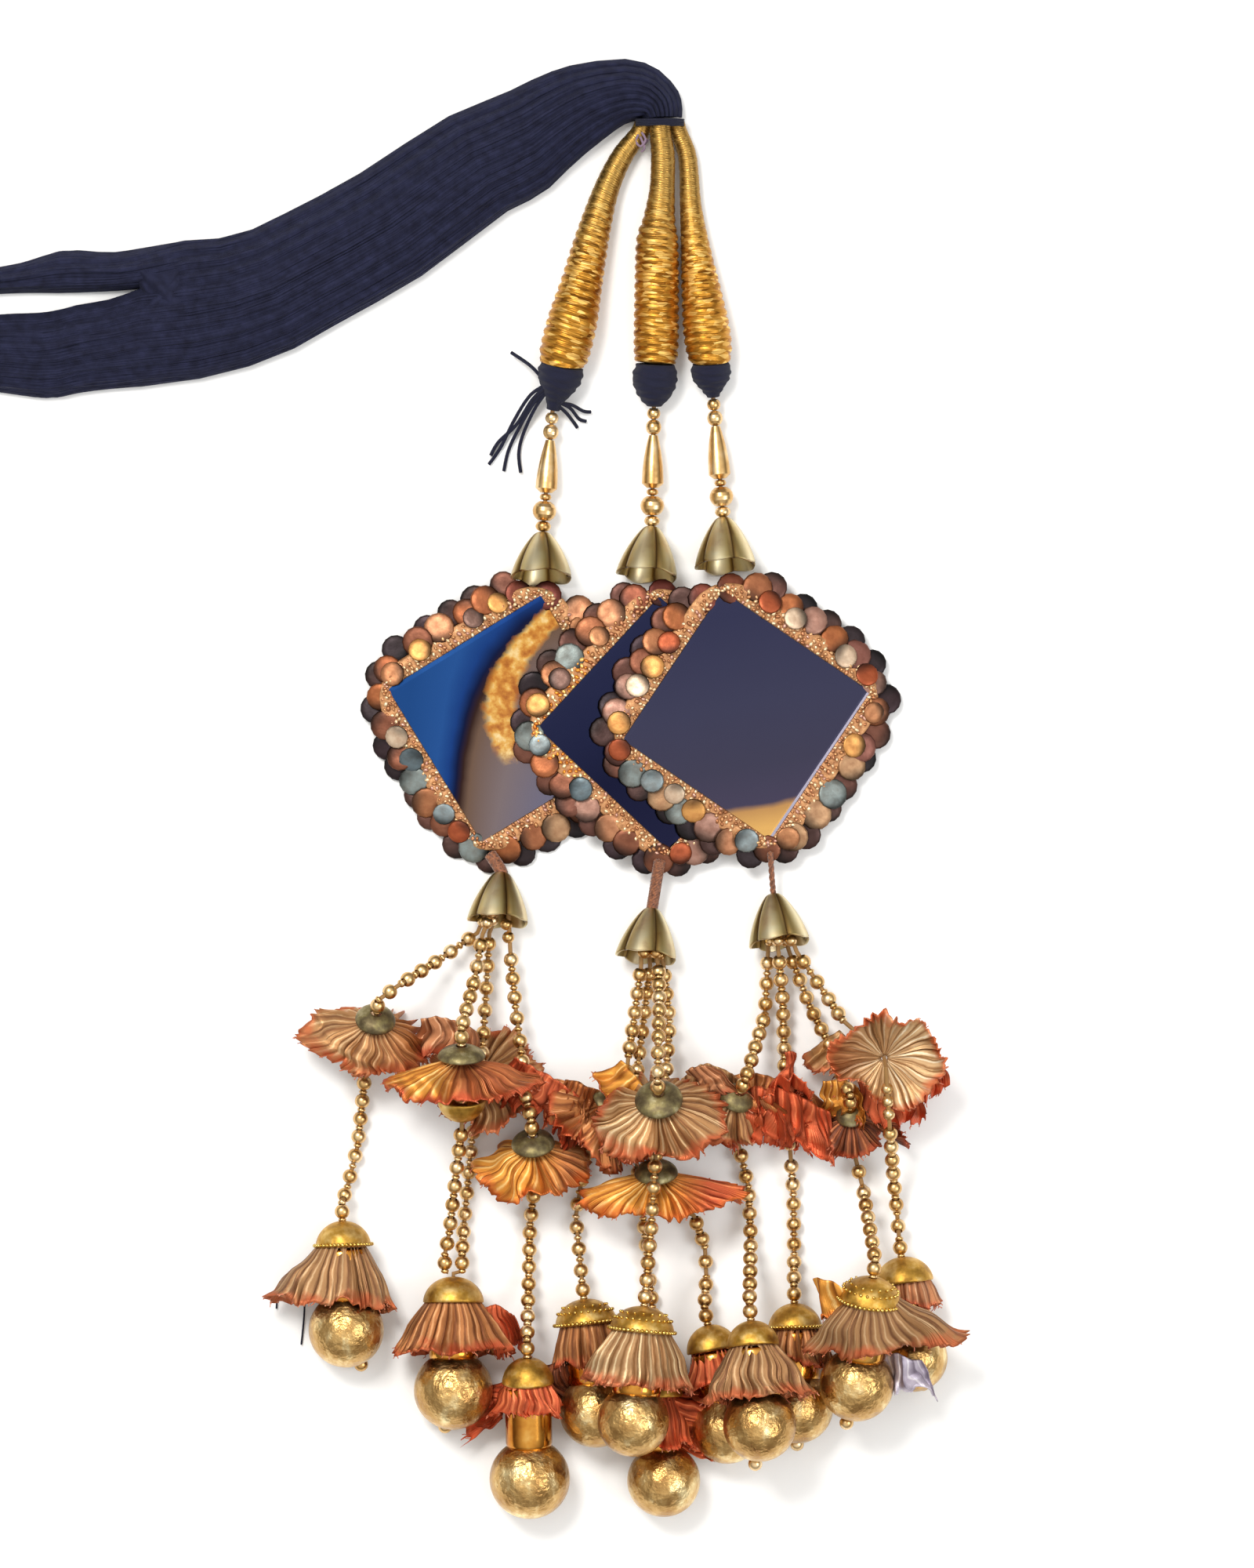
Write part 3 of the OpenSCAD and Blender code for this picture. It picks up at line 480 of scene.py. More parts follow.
# Thread knots at the arms' ends
# The navy core thread is wound over the end of each arm and tied off. The left one keeps its
# loose ends. Each knot is a wound bulb between the arm's end and the first link bead.
knot_start = {"left": (29.0, 112.6, 6.8), "middle": (53.8, 112.9, 6.5), "right": (68.4, 113.3, 6.2)}
knot_end = {"left": (26.4, 100.4, 4.6), "middle": (53.4, 101.6, 5.2), "right": (69.2, 104.0, 4.4)}
knot_shape = {
    "left": [(0, 5.7), (2.0, 6.1), (4.5, 5.6), (7.5, 3.9), (10.0, 2.2), (12.2, 1.7)],
    "middle": [(0, 5.1), (2.5, 6.0), (5.5, 5.8), (8.5, 4.4), (10.6, 2.6), (11.2, 1.8)],
    "right": [(0, 4.8), (2.0, 5.4), (4.5, 4.9), (7.0, 3.0), (8.6, 1.9), (9.2, 1.6)],
}


def turned(start, end, profile, ripple=None):
    """Surface turned about the line from start to end. The profile is distance and radius."""
    origin, profile = np.array(start, float), np.array(profile, float)
    d = unit(np.array(end, float) - origin)
    s, w = frames(d)
    steps = distances(profile)

    def surface(u, t):
        at = t * steps[-1]
        z, r = np.interp(at, steps, profile[:, 0]), np.interp(at, steps, profile[:, 1])
        if ripple:
            dz, dr = ripple(u, t, z, r)
            z, r = z + dz, r + dr
        return origin + z[:, None] * d + r[:, None] * about(2 * np.pi * u, s, w)
    return surface


def wound(u, t, z, r):
    """Raises crossing turns of thread on a knot."""
    crossing = np.sin(2 * np.pi * (9 * t + 2 * u)) * 0.12 + np.sin(2 * np.pi * (7 * t - 3 * u)) * 0.1
    return 0 * z, np.where(r > 0.3, crossing * np.minimum(1, r / 3), 0)


for side, shape in knot_shape.items():
    shape = [(0, 0.01)] + shape + [(shape[-1][0], 0.01)]
    fit(rolled(f"thread_knot_{side}", 44, 90, turned(knot_start[side], knot_end[side], shape, wound)),
        thread_paint, [f"arm_tip_{side}"])
loose_ends = [
    [(27.5, 107.0, 9.0), (24.6, 108.4, 7.6), (20.5, 112.6, 5.0), (15.4, 116.2, 2.4)],
    [(24.6, 107.4, 8.0), (20.4, 104.6, 5.4), (16.2, 98.2, 2.2), (12.6, 91.0, 0.9), (9.4, 86.4, 0.9)],
    [(25.0, 106.6, 7.6), (21.4, 102.6, 4.6), (17.2, 95.6, 1.6), (14.6, 90.0, 0.9), (13.4, 84.6, 0.9)],
    [(25.2, 106.0, 7.2), (21.8, 101.4, 3.8), (18.6, 94.6, 1.2), (17.4, 89.4, 0.9), (17.9, 84.2, 0.9)],
    [(24.8, 107.0, 8.4), (20.9, 103.4, 5.0), (16.8, 97.0, 2.0), (12.0, 92.4, 1.0), (9.9, 88.8, 0.9)],
    [(27.6, 103.0, 6.6), (31.0, 101.4, 4.2), (33.4, 98.6, 1.6), (35.4, 97.9, 0.9)],
    [(27.4, 102.6, 6.4), (31.4, 102.2, 4.4), (34.6, 100.6, 2.0), (36.6, 100.4, 1.1)],
    [(27.6, 102.2, 6.2), (30.2, 99.9, 4.0), (32.2, 97.4, 1.6), (33.0, 96.2, 0.9)],
]
core_thread_r = 0.48
fit(thread_mesh("loose_thread_ends", smoothed(loose_ends, 22), core_thread_r, 2), thread_paint)

# Link beads
# Between each arm and its mirror hang small gilt beads, a long teardrop and a fat bead on a
# thread. They are polished plated metal.
bead_paint = grained("gilt_bead", "c29a52", 160, 3, [(0.25, "b08248"), (0.5, "d2ac72"), (0.8, "f4dcb4")],
                     rough=(0.24, 0.36), Metallic=1.0, Roughness=0.16)
grain_relief(bead_paint, 900, 0.12, 0.0002)
string_paint = paint("string_thread", "8a6430", Roughness=0.6, Sheen_Weight=0.1)
grain_relief(string_paint, 3000, 0.4, 0.0002)
for name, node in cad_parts.items():
    if name.startswith(("link_beads", "beads_")):
        dress(node, bead_paint)
    if name.startswith(("link_threads", "threads_")):
        dress(node, string_paint)

# Petal caps
# Pressed brass caps of five petals. Three cover the mirrors' top corners and three gather the
# bead strings below. Each petal has a painted highlight down its middle, and the colour darkens towards the
# grooves between petals.
cap_places = {
    "top_cap_left": ((23.8, 68.0, 5.1), (23.6, 56.0, 8.4)),
    "top_cap_middle": ((52.9, 69.6, 5.1), (51.6, 56.6, 8.4)),
    "top_cap_right": ((71.9, 72.0, 5.1), (72.6, 59.0, 8.4)),
    "drop_cap_left": ((12.9, -22.4, 5.1), (12.0, -35.4, 8.4)),
    "drop_cap_middle": ((52.9, -32.0, 5.1), (51.4, -45.0, 8.4)),
    "drop_cap_right": ((85.2, -28.2, 5.1), (87.0, -41.2, 8.4)),
}
cap_petals = 5
cap_neck_r, cap_edge_r = 1.7, 8.2
cap_bore_r, cap_top = 1.05, 0.9
petal_from, petal_length, petal_belly = 12.5, 0.35, 0.25
groove_width, groove_depth = 0.07, 0.6


def cap_profile(length):
    """Out over the cap, round its edge and back inside it."""
    t = np.linspace(0, 1, 26)
    r = cap_neck_r + (cap_edge_r - cap_neck_r) * (np.sin(np.pi / 2 * t) ** 0.8 + t ** 0.75) / 2
    outer = list(zip(t * length, r))
    inner = [(z, max(1.0, q - 0.8)) for z, q in outer[::-1] if z > cap_top]
    return [(0, cap_bore_r)] + outer + inner + [(cap_top, cap_bore_r), (0, cap_bore_r)]


def petal_grooves(u, t, z, r):
    """Lengthens and swells the cap at each petal, and sinks a groove between two petals."""
    phase = np.abs((cap_petals * u) % 1 - 0.5)
    groove = np.exp(-((0.5 - phase) / groove_width) ** 2)
    down = np.clip(z / petal_from, 0, 1)
    petal = np.cos(2 * np.pi * (cap_petals * u - 0.5))
    belly = petal_belly * petal * down
    return petal_length * (petal - 0.6) * down ** 4, belly - groove_depth * groove * down ** 0.5


cap_paint = paint("petal_brass", "c9bd84", Metallic=1.0, Roughness=0.2)
cap_uv = split(cap_paint, coords(cap_paint, "UV", (cap_petals, 1, 1)))["X"]
cap_patch = noise(cap_paint, coords(cap_paint, "Object"), 220, 4)
# A painted highlight down the middle of each petal, darker towards the grooves.
petal_highlight_and_groove = ramp(cap_paint, calc(cap_paint, "FRACT", cap_uv), [
    (0.0, "54402a"), (0.05, "86704a"), (0.2, "c4b48c"), (0.5, "fffaf0"), (0.8, "c4b48c"),
    (0.95, "86704a"), (1.0, "54402a")])
cap_tone = ramp(cap_paint, calc(cap_paint, "MULTIPLY", cap_patch, 0.5), [
    (0.12, "c0a270"), (0.22, "dccc98"), (0.34, "d6d2ae")])
link(cap_paint, blend(cap_paint, 0.75, petal_highlight_and_groove, cap_tone, "MULTIPLY"), "Base Color")
rough_from(cap_paint, cap_patch, 0.34, 0.5)
for name, (apex, mouth) in cap_places.items():
    length = float(np.linalg.norm(np.subtract(mouth, apex)))
    cap = rolled(f"petal_{name}", 90, 64, turned(apex, mouth, cap_profile(length), petal_grooves))
    bpy.ops.object.shade_smooth_by_angle(angle=math.radians(40))
    fit(cap, cap_paint, [name])

# Mirrors
# Square cut mirrors, corner up, with a narrow bevel ground round the edge. Their colours are painted
# reflections: smoky, blue and slate, and a painted highlight on the right one's bevel. Each lies a little on
# the next one.
mirror_places = {  # centre x, y, z, turn about Z, lean about X, lean about Y
    "left": (15.4, 18.7, 1.30, 31.5, 1.4, 0),
    "middle": (55.8, 17.4, 5.05, 47.0, 0, 6),
    "right": (77.8, 19.4, 6.10, 56.0, 0, 6),
}
mirror_side = 47.7
mirror_floor, mirror_top = 1.3, 2.75
bevel_w, bevel_h = 1.1, 0.1


def spin(degrees, axis):
    return Matrix.Rotation(math.radians(degrees), 4, axis)


def on_mirror(side):
    """Turns points of a mirror's own frame into place, in metres."""
    x, y, z, turn, lean_x, lean_y = mirror_places[side]
    return (Matrix.Translation(Vector((x, y, z)) * mm) @ spin(lean_y, "Y") @ spin(lean_x, "X")
            @ spin(turn, "Z") @ Matrix.Scale(mm, 4))


def mirror_paint(side, slant, bow, edge, stops):
    """Painted reflections on the silvering. Their colours run up the glass, slanted and bowed by those shares
    of x and of x squared, and below edge is a painted highlight on the lit bevel, both in sides of the glass
    from its middle."""
    x, y, z, turn, _, _ = mirror_places[side]
    glass = paint(f"mirror_glass_{side}", "20243c", Metallic=1.0, Roughness=0.07)
    local = add(glass, "Mapping", {
        "Vector": add(glass, "TexCoord").outputs["Object"], "Location": (x * mm, y * mm, 0),
        "Rotation": (0, 0, math.radians(turn)), "Scale": (mirror_side * mm,) * 3,
    }, vector_type="TEXTURE").outputs["Vector"]
    x_part, y_part, _ = split(glass, local)
    haze = remapped(glass, noise(glass, local, 2.4, 3), (0, 1), (-0.05, 0.05))
    curve = calc(glass, "MULTIPLY_ADD", calc(glass, "MULTIPLY", x_part, x_part), bow, haze)
    slope = calc(glass, "MULTIPLY_ADD", x_part, slant, curve)
    face = ramp(glass, remapped(glass, calc(glass, "ADD", y_part, slope), (-1, 1)), stops)
    link(glass, blend(glass, calc(glass, "LESS_THAN", y_part, edge), face, "a29cac"), "Base Color")
    rough_from(glass, noise(glass, local, 5), 0.1, 0.2)
    return glass


no_lit_bevel = -2.0
# Each glass's colours are painted reflections; the right one also has a painted highlight on its bevel.
mirror_reflections = {
    "left": mirror_paint("left", -0.629, 0.823, no_lit_bevel, [
        (0.28, "6a6678"), (0.45, "77696a"), (0.585, "6b5446"), (0.622, "33221f"), (0.65, "141a38"),
        (0.69, "1c3c78"), (0.75, "264e8a"), (0.9, "20467e")]),
    "middle": mirror_paint("middle", 0.3, 0, no_lit_bevel, [
        (0.2, "20213a"), (0.42, "1a1c34"), (0.56, "20233e"), (0.8, "272a45")]),
    "right": mirror_paint("right", 1.0, 0, -0.489, [
        (0.05, "d9a860"), (0.125, "b98a55"), (0.15, "454054"), (0.3, "3f3d50"), (0.55, "3c3c52"),
        (0.9, "34354e")]),
}
# A painted reflection of the middle mirror's sequins shows in a bowed, ragged band on the left glass, beside
# the middle mirror. Metres.
band_middle_y, band_x, band_bow = 0.021, 0.0124, 22.5
left_glass = mirror_reflections["left"]
# The left glass's painted reflections, with the painted reflection of the sequins laid over them in the band.
silver = left_glass.node_tree.nodes["Principled BSDF"].inputs["Base Color"].links[0].from_socket
spot = split(left_glass, coords(left_glass, "Object"))
fleck = noise(left_glass, coords(left_glass, "Object"), 260, 3)
rise = calc(left_glass, "SUBTRACT", spot["Y"], band_middle_y)
band = calc(left_glass, "MULTIPLY_ADD", calc(left_glass, "MULTIPLY", rise, rise), band_bow, band_x)
away = calc(left_glass, "ABSOLUTE", calc(left_glass, "SUBTRACT", spot["X"], band))
near = remapped(left_glass, calc(left_glass, "MULTIPLY_ADD", fleck, 0.005, away), (0.0056, 0.0074), (0.9, 0.0))
above = remapped(left_glass, calc(left_glass, "MULTIPLY_ADD", fleck, 0.014, spot["Y"]), (0.0135, 0.0185))
sequin_reflection = ramp(left_glass, fleck, [(0.34, "a8602a"), (0.46, "cc863a"), (0.56, "e6b05a"), (0.7, "fae0a4")])
link(left_glass, blend(left_glass, calc(left_glass, "MULTIPLY", near, above), silver, sequin_reflection), "Base Color")
for side in mirror_places:
    bpy.ops.object.select_all(action="DESELECT")
    bpy.ops.mesh.primitive_cube_add(size=1, location=(0, 0, 0))
    glass = bpy.context.object
    glass.name = f"mirror_glass_{side}"
    bpy.ops.object.mode_set(mode="EDIT")
    bpy.ops.transform.resize(value=(mirror_side, mirror_side, mirror_top - mirror_floor - bevel_h))
    bpy.ops.transform.translate(value=(0, 0, (mirror_top + mirror_floor - bevel_h) / 2))
    bpy.ops.mesh.select_all(action="DESELECT")
    bpy.ops.object.mode_set(mode="OBJECT")
    for face in glass.data.polygons:
        face.select = face.normal.z > 0.5
    bpy.ops.object.mode_set(mode="EDIT")
    bpy.ops.mesh.inset(thickness=bevel_w)
    bpy.ops.transform.translate(value=(0, 0, bevel_h))
    bpy.ops.object.mode_set(mode="OBJECT")
    glass.data.transform(on_mirror(side))
    fit(glass, mirror_reflections[side], [f"mirror_{side}"])

# Lace borders
# A stiff backing cloth carries each mirror, and a braid of copper thread knotted over seed
# beads is glued round it. The braid's knots are modelled one by one over a wrapped base.
frame_half, frame_corner = 28.85, 12
opening_half, opening_corner = 23.75, 1.2


def soft_square(a, half, corner):
    """Point of a square with rounded corners in the direction a."""
    c, s = np.abs(np.cos(a)), np.abs(np.sin(a))
    reach = half / np.maximum(c, s)
    inner = half - corner
    mid = inner * (c + s)
    arc = mid + np.sqrt(np.maximum(mid ** 2 - 2 * inner ** 2 + corner ** 2, 0))
    rounded = np.minimum(c, s) * reach > inner
    r = np.where(rounded, arc, reach)
    return np.stack([r * np.cos(a), r * np.sin(a)], axis=-1)


def lace_base(u, t):
    """The wrapped base: up from under the border, over its braid and down at the glass."""
    a = 2 * np.pi * u
    stations = np.array([0, 0.16, 0.2, 0.30, 0.42, 0.55, 0.68, 0.78, 0.84, 0.9, 1.0])
    share = np.interp(t, stations, [0, 0.9, 1, 1, 0.97, 0.7, 0.35, 0.02, 0, 0, 0])
    height = np.interp(t, stations, [0.02, 0.02, 0.3, 1.6, 2.3, 2.7, 2.7, 2.5, 1.7, 1.15, 1.15])
    centre = np.where(t < 0.16, t / 0.16, np.where(t > 0.9, (1 - t) / 0.1, 1))
    outer, inner = soft_square(a, frame_half, frame_corner), soft_square(a, opening_half, opening_corner)
    flat = (inner + (outer - inner) * share[:, None]) * np.maximum(centre, 0.002)[:, None]
    top = (height > 2).astype(float) * 0.12 * np.sin(2 * np.pi * (70 * u + 4 * t))
    return np.concatenate([flat, (height + top)[:, None]], axis=1)


def seed(name, squash=(1, 1, 1), turns=8, rings=6):
    """A small bead of a few dozen faces, to be strewn over a piece."""
    bpy.ops.object.select_all(action="DESELECT")
    bpy.ops.mesh.primitive_uv_sphere_add(segments=turns, ring_count=rings, radius=1, location=(0, 0, 0))
    piece = bpy.context.object
    piece.name = name
    bpy.ops.object.mode_set(mode="EDIT")
    bpy.ops.mesh.select_all(action="SELECT")
    bpy.ops.transform.resize(value=squash)
    bpy.ops.object.mode_set(mode="OBJECT")
    return piece


def strewn(name, model, places, tones=None, shaded_side=0.0):
    """Copies of a model at each place (a 4x4 matrix), made one mesh, each with its tone. Painted shade
    darkens each copy's tone toward one side by the share given."""
    verts = np.array([v.co[:] for v in model.data.vertices])
    faces = [list(p.vertices) for p in model.data.polygons]
    copies = [verts @ np.array(m)[:3, :3].T + np.array(m)[:3, 3] for m in places]
    mesh = bpy.data.meshes.new(name)
    mesh.from_pydata(np.concatenate(copies).tolist(), [],
                     [[v + k * len(verts) for v in f] for k in range(len(places)) for f in faces])
    if tones is not None:
        colour = mesh.color_attributes.new("tone", "FLOAT_COLOR", "POINT")
        rows = np.repeat(np.array([(*tint(t), 1) for t in tones]), len(verts), axis=0)
        if shaded_side:
            flat = verts[:, :2] / np.abs(verts[:, :2]).max()
            side = rng.uniform(0, 2 * np.pi, len(places))
            toward = np.stack([np.cos(side), np.sin(side)], axis=1)
            side_shade = 1 - shaded_side * np.clip(1.5 * toward @ flat.T - 0.1, 0, 1)
            rows[:, :3] *= side_shade.reshape(-1, 1)
        colour.data.foreach_set("color", rows.astype(np.float32).ravel())
    piece = bpy.data.objects.new(name, mesh)
    bpy.context.collection.objects.link(piece)
    bpy.ops.object.select_all(action="DESELECT")
    piece.select_set(True)
    bpy.context.view_layer.objects.active = piece
    bpy.ops.object.shade_smooth()
    return piece


def toned(material):
    """The colour of each copy from its tone."""
    return add(material, "VertexColor", layer_name="tone").outputs["Color"]


lace_paint = paint("copper_lace", "b57a4c", Metallic=0.75, Roughness=0.38)
link(lace_paint, toned(lace_paint), "Base Color")
grain_relief(lace_paint, 1800, 0.5, 0.0003)
base_paint = grained("lace_backing", "9a6238", 700, 4, [(0.3, "8a5a34"), (0.6, "c08c5c"), (0.85, "e0b488")],
                     bump=(0.6, 0.0005), Metallic=0.4, Roughness=0.55)
lace_tones = ["d2a476", "c08a5c", "dcb48a", "e8c79c", "a8704a", "d0a08c", "f2dab0", "c88c64"]
gold_highlight_tones = ["ffcf7a", "e89a3c", "fff0c0", "d07c30"]
gold_highlight_x = 0.036  # metres; left of here the middle border's knots take gold tones, the palest of them painted highlights
knot_rings = [  # half width, corner radius, height, knots, size
    (24.4, 1.6, 2.9, 120, 0.62), (25.4, 4.0, 3.1, 116, 0.66), (26.5, 7.0, 3.0, 104, 0.7),
    (27.6, 10.0, 2.4, 92, 0.72)]
knot = seed("lace_knot", (1.0, 0.72, 0.8), 8, 5)
for side in mirror_places:
    base = rolled(f"lace_backing_{side}", 144, 30, lace_base)
    base.data.transform(Matrix.Scale(1 / mm, 4))
    base.data.transform(on_mirror(side))
    fit(base, base_paint, [f"mirror_frame_{side}"])
    places, tones = [], []
    for half, corner, height, count, size in knot_rings:
        ring = soft_square(np.linspace(0, 2 * np.pi, 721), half, corner)
        run = distances(ring)
        for k in range(count):
            at = (k + rng.uniform(-0.2, 0.2)) / count * run[-1] % run[-1]
            x, y = np.interp(at, run, ring[:, 0]), np.interp(at, run, ring[:, 1])
            way = rng.uniform(0, np.pi)
            grow = size * rng.uniform(0.8, 1.2)
            places.append(on_mirror(side) @ Matrix.Translation((x, y, height + rng.uniform(-0.15, 0.15)))
                          @ Matrix.Rotation(way, 4, "Z") @ Matrix.Scale(grow, 4))
            tone = lace_tones[rng.integers(len(lace_tones))]
            # Gold knots left of here, the palest of them painted highlights.
            if side == "middle" and places[-1].translation.x < gold_highlight_x:
                tone = gold_highlight_tones[k % 4]
            tones.append(tone)
    fit(strewn(f"lace_knots_{side}", knot, places, tones), lace_paint)

# Sequins
# Cupped metal sequins are sewn round each border in overlapping rows, flat ones outside and
# tilted ones on the braid. Their plating is worn: copper, brown, smoky blue, and some cream. Painted shade
# darkens each to one side.
sequin_r, sequin_wall = 4.2, 0.22
bpy.ops.object.select_all(action="DESELECT")
bpy.ops.mesh.primitive_circle_add(vertices=14, radius=sequin_r, fill_type="NGON", location=(0, 0, 0))
sequin = bpy.context.object
sequin.name = "sequin"
bpy.ops.object.mode_set(mode="EDIT")
for step, rise in ((0.45, 0.25), (1.3, 0.12), (1.6, -0.12)):  # its cup: inward, then up or down
    bpy.ops.mesh.inset(thickness=step, depth=0.0)
    bpy.ops.transform.translate(value=(0, 0, rise))
bpy.ops.object.mode_set(mode="OBJECT")
shell = sequin.modifiers.new("plate", "SOLIDIFY")
shell.thickness = sequin_wall
shell.offset = 0
bpy.ops.object.modifier_apply(modifier="plate")

sequin_paint = paint("sequin_plating", "8a5a3c", Metallic=0.7, Roughness=0.4)
worn = noise(sequin_paint, coords(sequin_paint, "Object"), 420, 4)
link(sequin_paint, blend(sequin_paint, worn, toned(sequin_paint), "a08070", "MULTIPLY"), "Base Color")
rough_from(sequin_paint, worn, 0.3, 0.6)
relief(sequin_paint, worn, 0.25, 0.0004)
sequin_tones = {
    "dark": ["46302c", "523a34", "38292e", "644238", "744a3a", "2e2428"],
    "light": ["b27850", "a06642", "bc8660", "a4623a", "8c5c50", "a88272", "b8946e", "8a9896", "a8663a",
              "84523a"],
    "bright": ["b88258", "e0ccb0", "98aaae", "a86840", "745a50", "dca45c", "6c8088", "b05a34"],
    "cap": ["6a3228", "7c4030", "8c5038", "54302c"],
}
sequin_rows = [  # reach from the border's edge, height, count, start, lean, size, squareness, tones
    (3.4, 0.7, 26, 0.5, 4, 0.95, 3.6, "dark"), (1.8, 1.8, 26, 0.0, 9, 0.95, 3.6, "light"),
    (-0.4, 3.1, 24, 0.4, 14, 0.75, 5.0, "bright")]
cap_angle, cap_half_angle = 45, 12  # degrees round a mirror where its top cap covers the border
cap_draws_in = 1.2
bright_missing = 0.45
# share of painted shade toward one side of each sequin
shaded_side = 0.8
for side in mirror_places:
    places, tones = [], []
    for row, (past, height, count, offset, lean, size, power, tone) in enumerate(sequin_rows):
        for k in range(count):
            a = 2 * np.pi * (k + offset + rng.uniform(-0.16, 0.16)) / count
            at_cap = abs(math.degrees(a) - cap_angle) <= cap_half_angle
            if (row != 1 and at_cap) or (row == 2 and rng.random() < bright_missing):
                continue
            corner = (abs(math.cos(a)) ** power + abs(math.sin(a)) ** power) ** (1 / power)
            reach = (frame_half + past) / corner
            reach += rng.uniform(-0.5, 0.5) - (cap_draws_in if at_cap else 0)
            tip = rng.uniform(-10, 10)
            places.append(on_mirror(side) @ Matrix.Rotation(a, 4, "Z")
                          @ Matrix.Translation((reach, 0, height + rng.uniform(0, 0.3)))
                          @ spin(lean, "Y") @ spin(tip, "X") @ Matrix.Scale(size * rng.uniform(0.9, 1.05), 4))
            tone_row = sequin_tones["cap" if at_cap else tone]
            tones.append(tone_row[rng.integers(len(tone_row))])
    fit(strewn(f"sequin_rows_{side}", sequin, places, tones, shaded_side), sequin_paint,
        [f"sequins_{side}"])
for model in (knot, sequin):
    bpy.data.objects.remove(model)

# Hangers
# A short cord of twisted brown thread joins each mirror's lower corner to the cap below it.
# It ends in a knot inside the cap, which also holds the four bead strings.
hanger_routes = {"left": ((9.9, -17.6, 3.5), (12.9, -22.4, 5.1), (12.6, -26.3, 6.1)),
                 "middle": ((54.9, -19.3, 8.7), (52.9, -32.0, 5.1), (52.5, -35.8, 6.1)),
                 "right": ((84.3, -17.0, 9.0), (85.2, -28.2, 5.1), (85.7, -32.1, 6.1))}
hanger_plies = {"left": (9, 1.3, 3), "middle": (9, 1.2, 4), "right": (3, 0.42, 5)}  # plies, spread, turns
ply_r = 0.42
cord_paint = grained("brown_cord", "6b3c22", 1500, 3, [(0.3, "472414"), (0.6, "8a5230"), (0.85, "b8794a")],
                     bump=(0.5, 0.0003), Roughness=0.6, Sheen_Weight=0.3)


def twisted(route, plies, spread, turns):
    """Routes of a cord's plies, which wind round its own route."""
    t = np.linspace(0, 1, 60)
    middle = through(np.array(route), t)
    d = unit(np.gradient(middle, axis=0))
    s, w = frames(d)
    return [middle + spread * about(2 * np.pi * (turns * t + k / plies), s, w) for k in range(plies)]


plies = [ply for side, route in hanger_routes.items() for ply in twisted(route, *hanger_plies[side])]
fit(thread_mesh("hanger_cords", plies, ply_r, 1), cord_paint, ["hangers"])

# Ribbon flowers
# Metal-tissue ribbon is pleated, gathered on the bead strings and crushed by wear. Each flower
# is a fluted cone. Its folds carry a painted pale gold highlight, its valleys painted copper shade, and the
# cut edge is coral.
Flower = namedtuple("Flower", "x y z yaw pitch a b length tip reach dome_r look")
flowers = [Flower(*row) for row in (  # rim's middle, direction, half widths, length, a tip's angle and reach
    (-21.5, -67.1, 11.0, -10, -44, 14.8, 12.2, 8, 180, 0.34, 6.6, "tan"),
    (2.5, -78.5, 24.8, 0, -18, 20.5, 11.5, 8, 180, 0.06, 7.6, "rust"),
    (7.5, -76.9, 9.0, 0, -60, 14.8, 15.5, 3, 0, 0.03, 0, "tan"),
    (21.8, -100.8, 10.6, 4, -36, 15.6, 11.8, 8, 200, 0.04, 7.0, "amber"),
    (33.8, -89.4, 9.6, -50, -20, 15.2, 9.0, 9, 180, 0.03, 5.6, "copper"),
    (55.0, -87.3, 25.8, 4, -50, 17.5, 14.0, 8, 20, 0.05, 7.6, "pale"),
    (48.5, -94.0, 9.0, 0, -22, 9.8, 8.0, 7, 0, 0.04, 5.0, "copper"),
    (54.2, -108.1, 13.8, 2, -30, 20.5, 9.6, 7, 0, 0.12, 7.0, "amber"),
    (72.8, -87.5, 9.4, -25, -44, 9.3, 11.4, 8, 180, 0.04, 6.0, "tan"),
    (89.0, -88.0, 9.2, 6, 48, 8.2, 10.0, 7, 90, 0.60, 0, "coral"),
    (105.5, -91.5, 7.6, 0, -44, 8.4, 9.2, 6, 0, 0.04, 5.0, "wine"),
    (114.6, -73.1, 26.0, 8, 66, 15.6, 14.5, 5, 222, -0.5, 0, "straw"))]
flower_hole = 0.95
dome_rise = 3.2  # from a flower's gathered hole up to the top of its dome
fold_at = 0.64
ribbon_looks = {  # fold with painted highlight, face, valley with painted shade, cut edge
    "tan": ("dcb88a", "b28456", "805434", "c0683f"),
    "pale": ("e6cca0", "b88e60", "84582f", "c0643c"),
    "copper": ("dca06c", "b4723f", "7a4222", "bd5630"),
    "coral": ("ee8a58", "c8603a", "8a381c", "d05a34"),
    "rust": ("c47c48", "a65e35", "763a1c", "b85230"),
    "amber": ("f8d084", "d8943c", "9a5a1c", "c8662a"),
    "rose": ("deb088", "b87c54", "7c4c30", "c86a48"),
    "straw": ("fff2d2", "d6b284", "946a42", "c4683e"),
    "wine": ("bc7448", "84482c", "4c281a", "a84c2c"),
    "silver": ("efeaec", "c2b8c6", "7c7080", "cfc6d2"),
    # The next three looks are tan, copper and pale darkened for the skirts, as painted shade.
    "shaded_tan": ("c09e76", "9b734b", "6e482d", "b2603a"),
    "shaded_copper": ("c08c5e", "9c6438", "683a1e", "ae502e"),
    "shaded_pale": ("d6be94", "a68058", "774f2a", "b4603c"),
}
flower_changes = {  # second look, and where along X it starts and is full
    0: ("copper", -22, -10), 1: ("amber", 2, -5), 3: ("copper", 20, 30), 5: ("tan", 52, 60),
    7: ("coral", 56, 68), 11: ("copper", 112, 100)}


def heading(yaw, pitch):
    """The direction of a piece whose yaw turns it from -Y and whose pitch raises it."""
    yaw, pitch = math.radians(yaw), math.radians(pitch)
    return np.array([math.cos(pitch) * math.sin(yaw), -math.cos(pitch) * math.cos(yaw), math.sin(pitch)])


def beside(yaw):
    """The level direction to the right of that heading."""
    return np.array([math.cos(math.radians(yaw)), math.sin(math.radians(yaw)), 0.0])


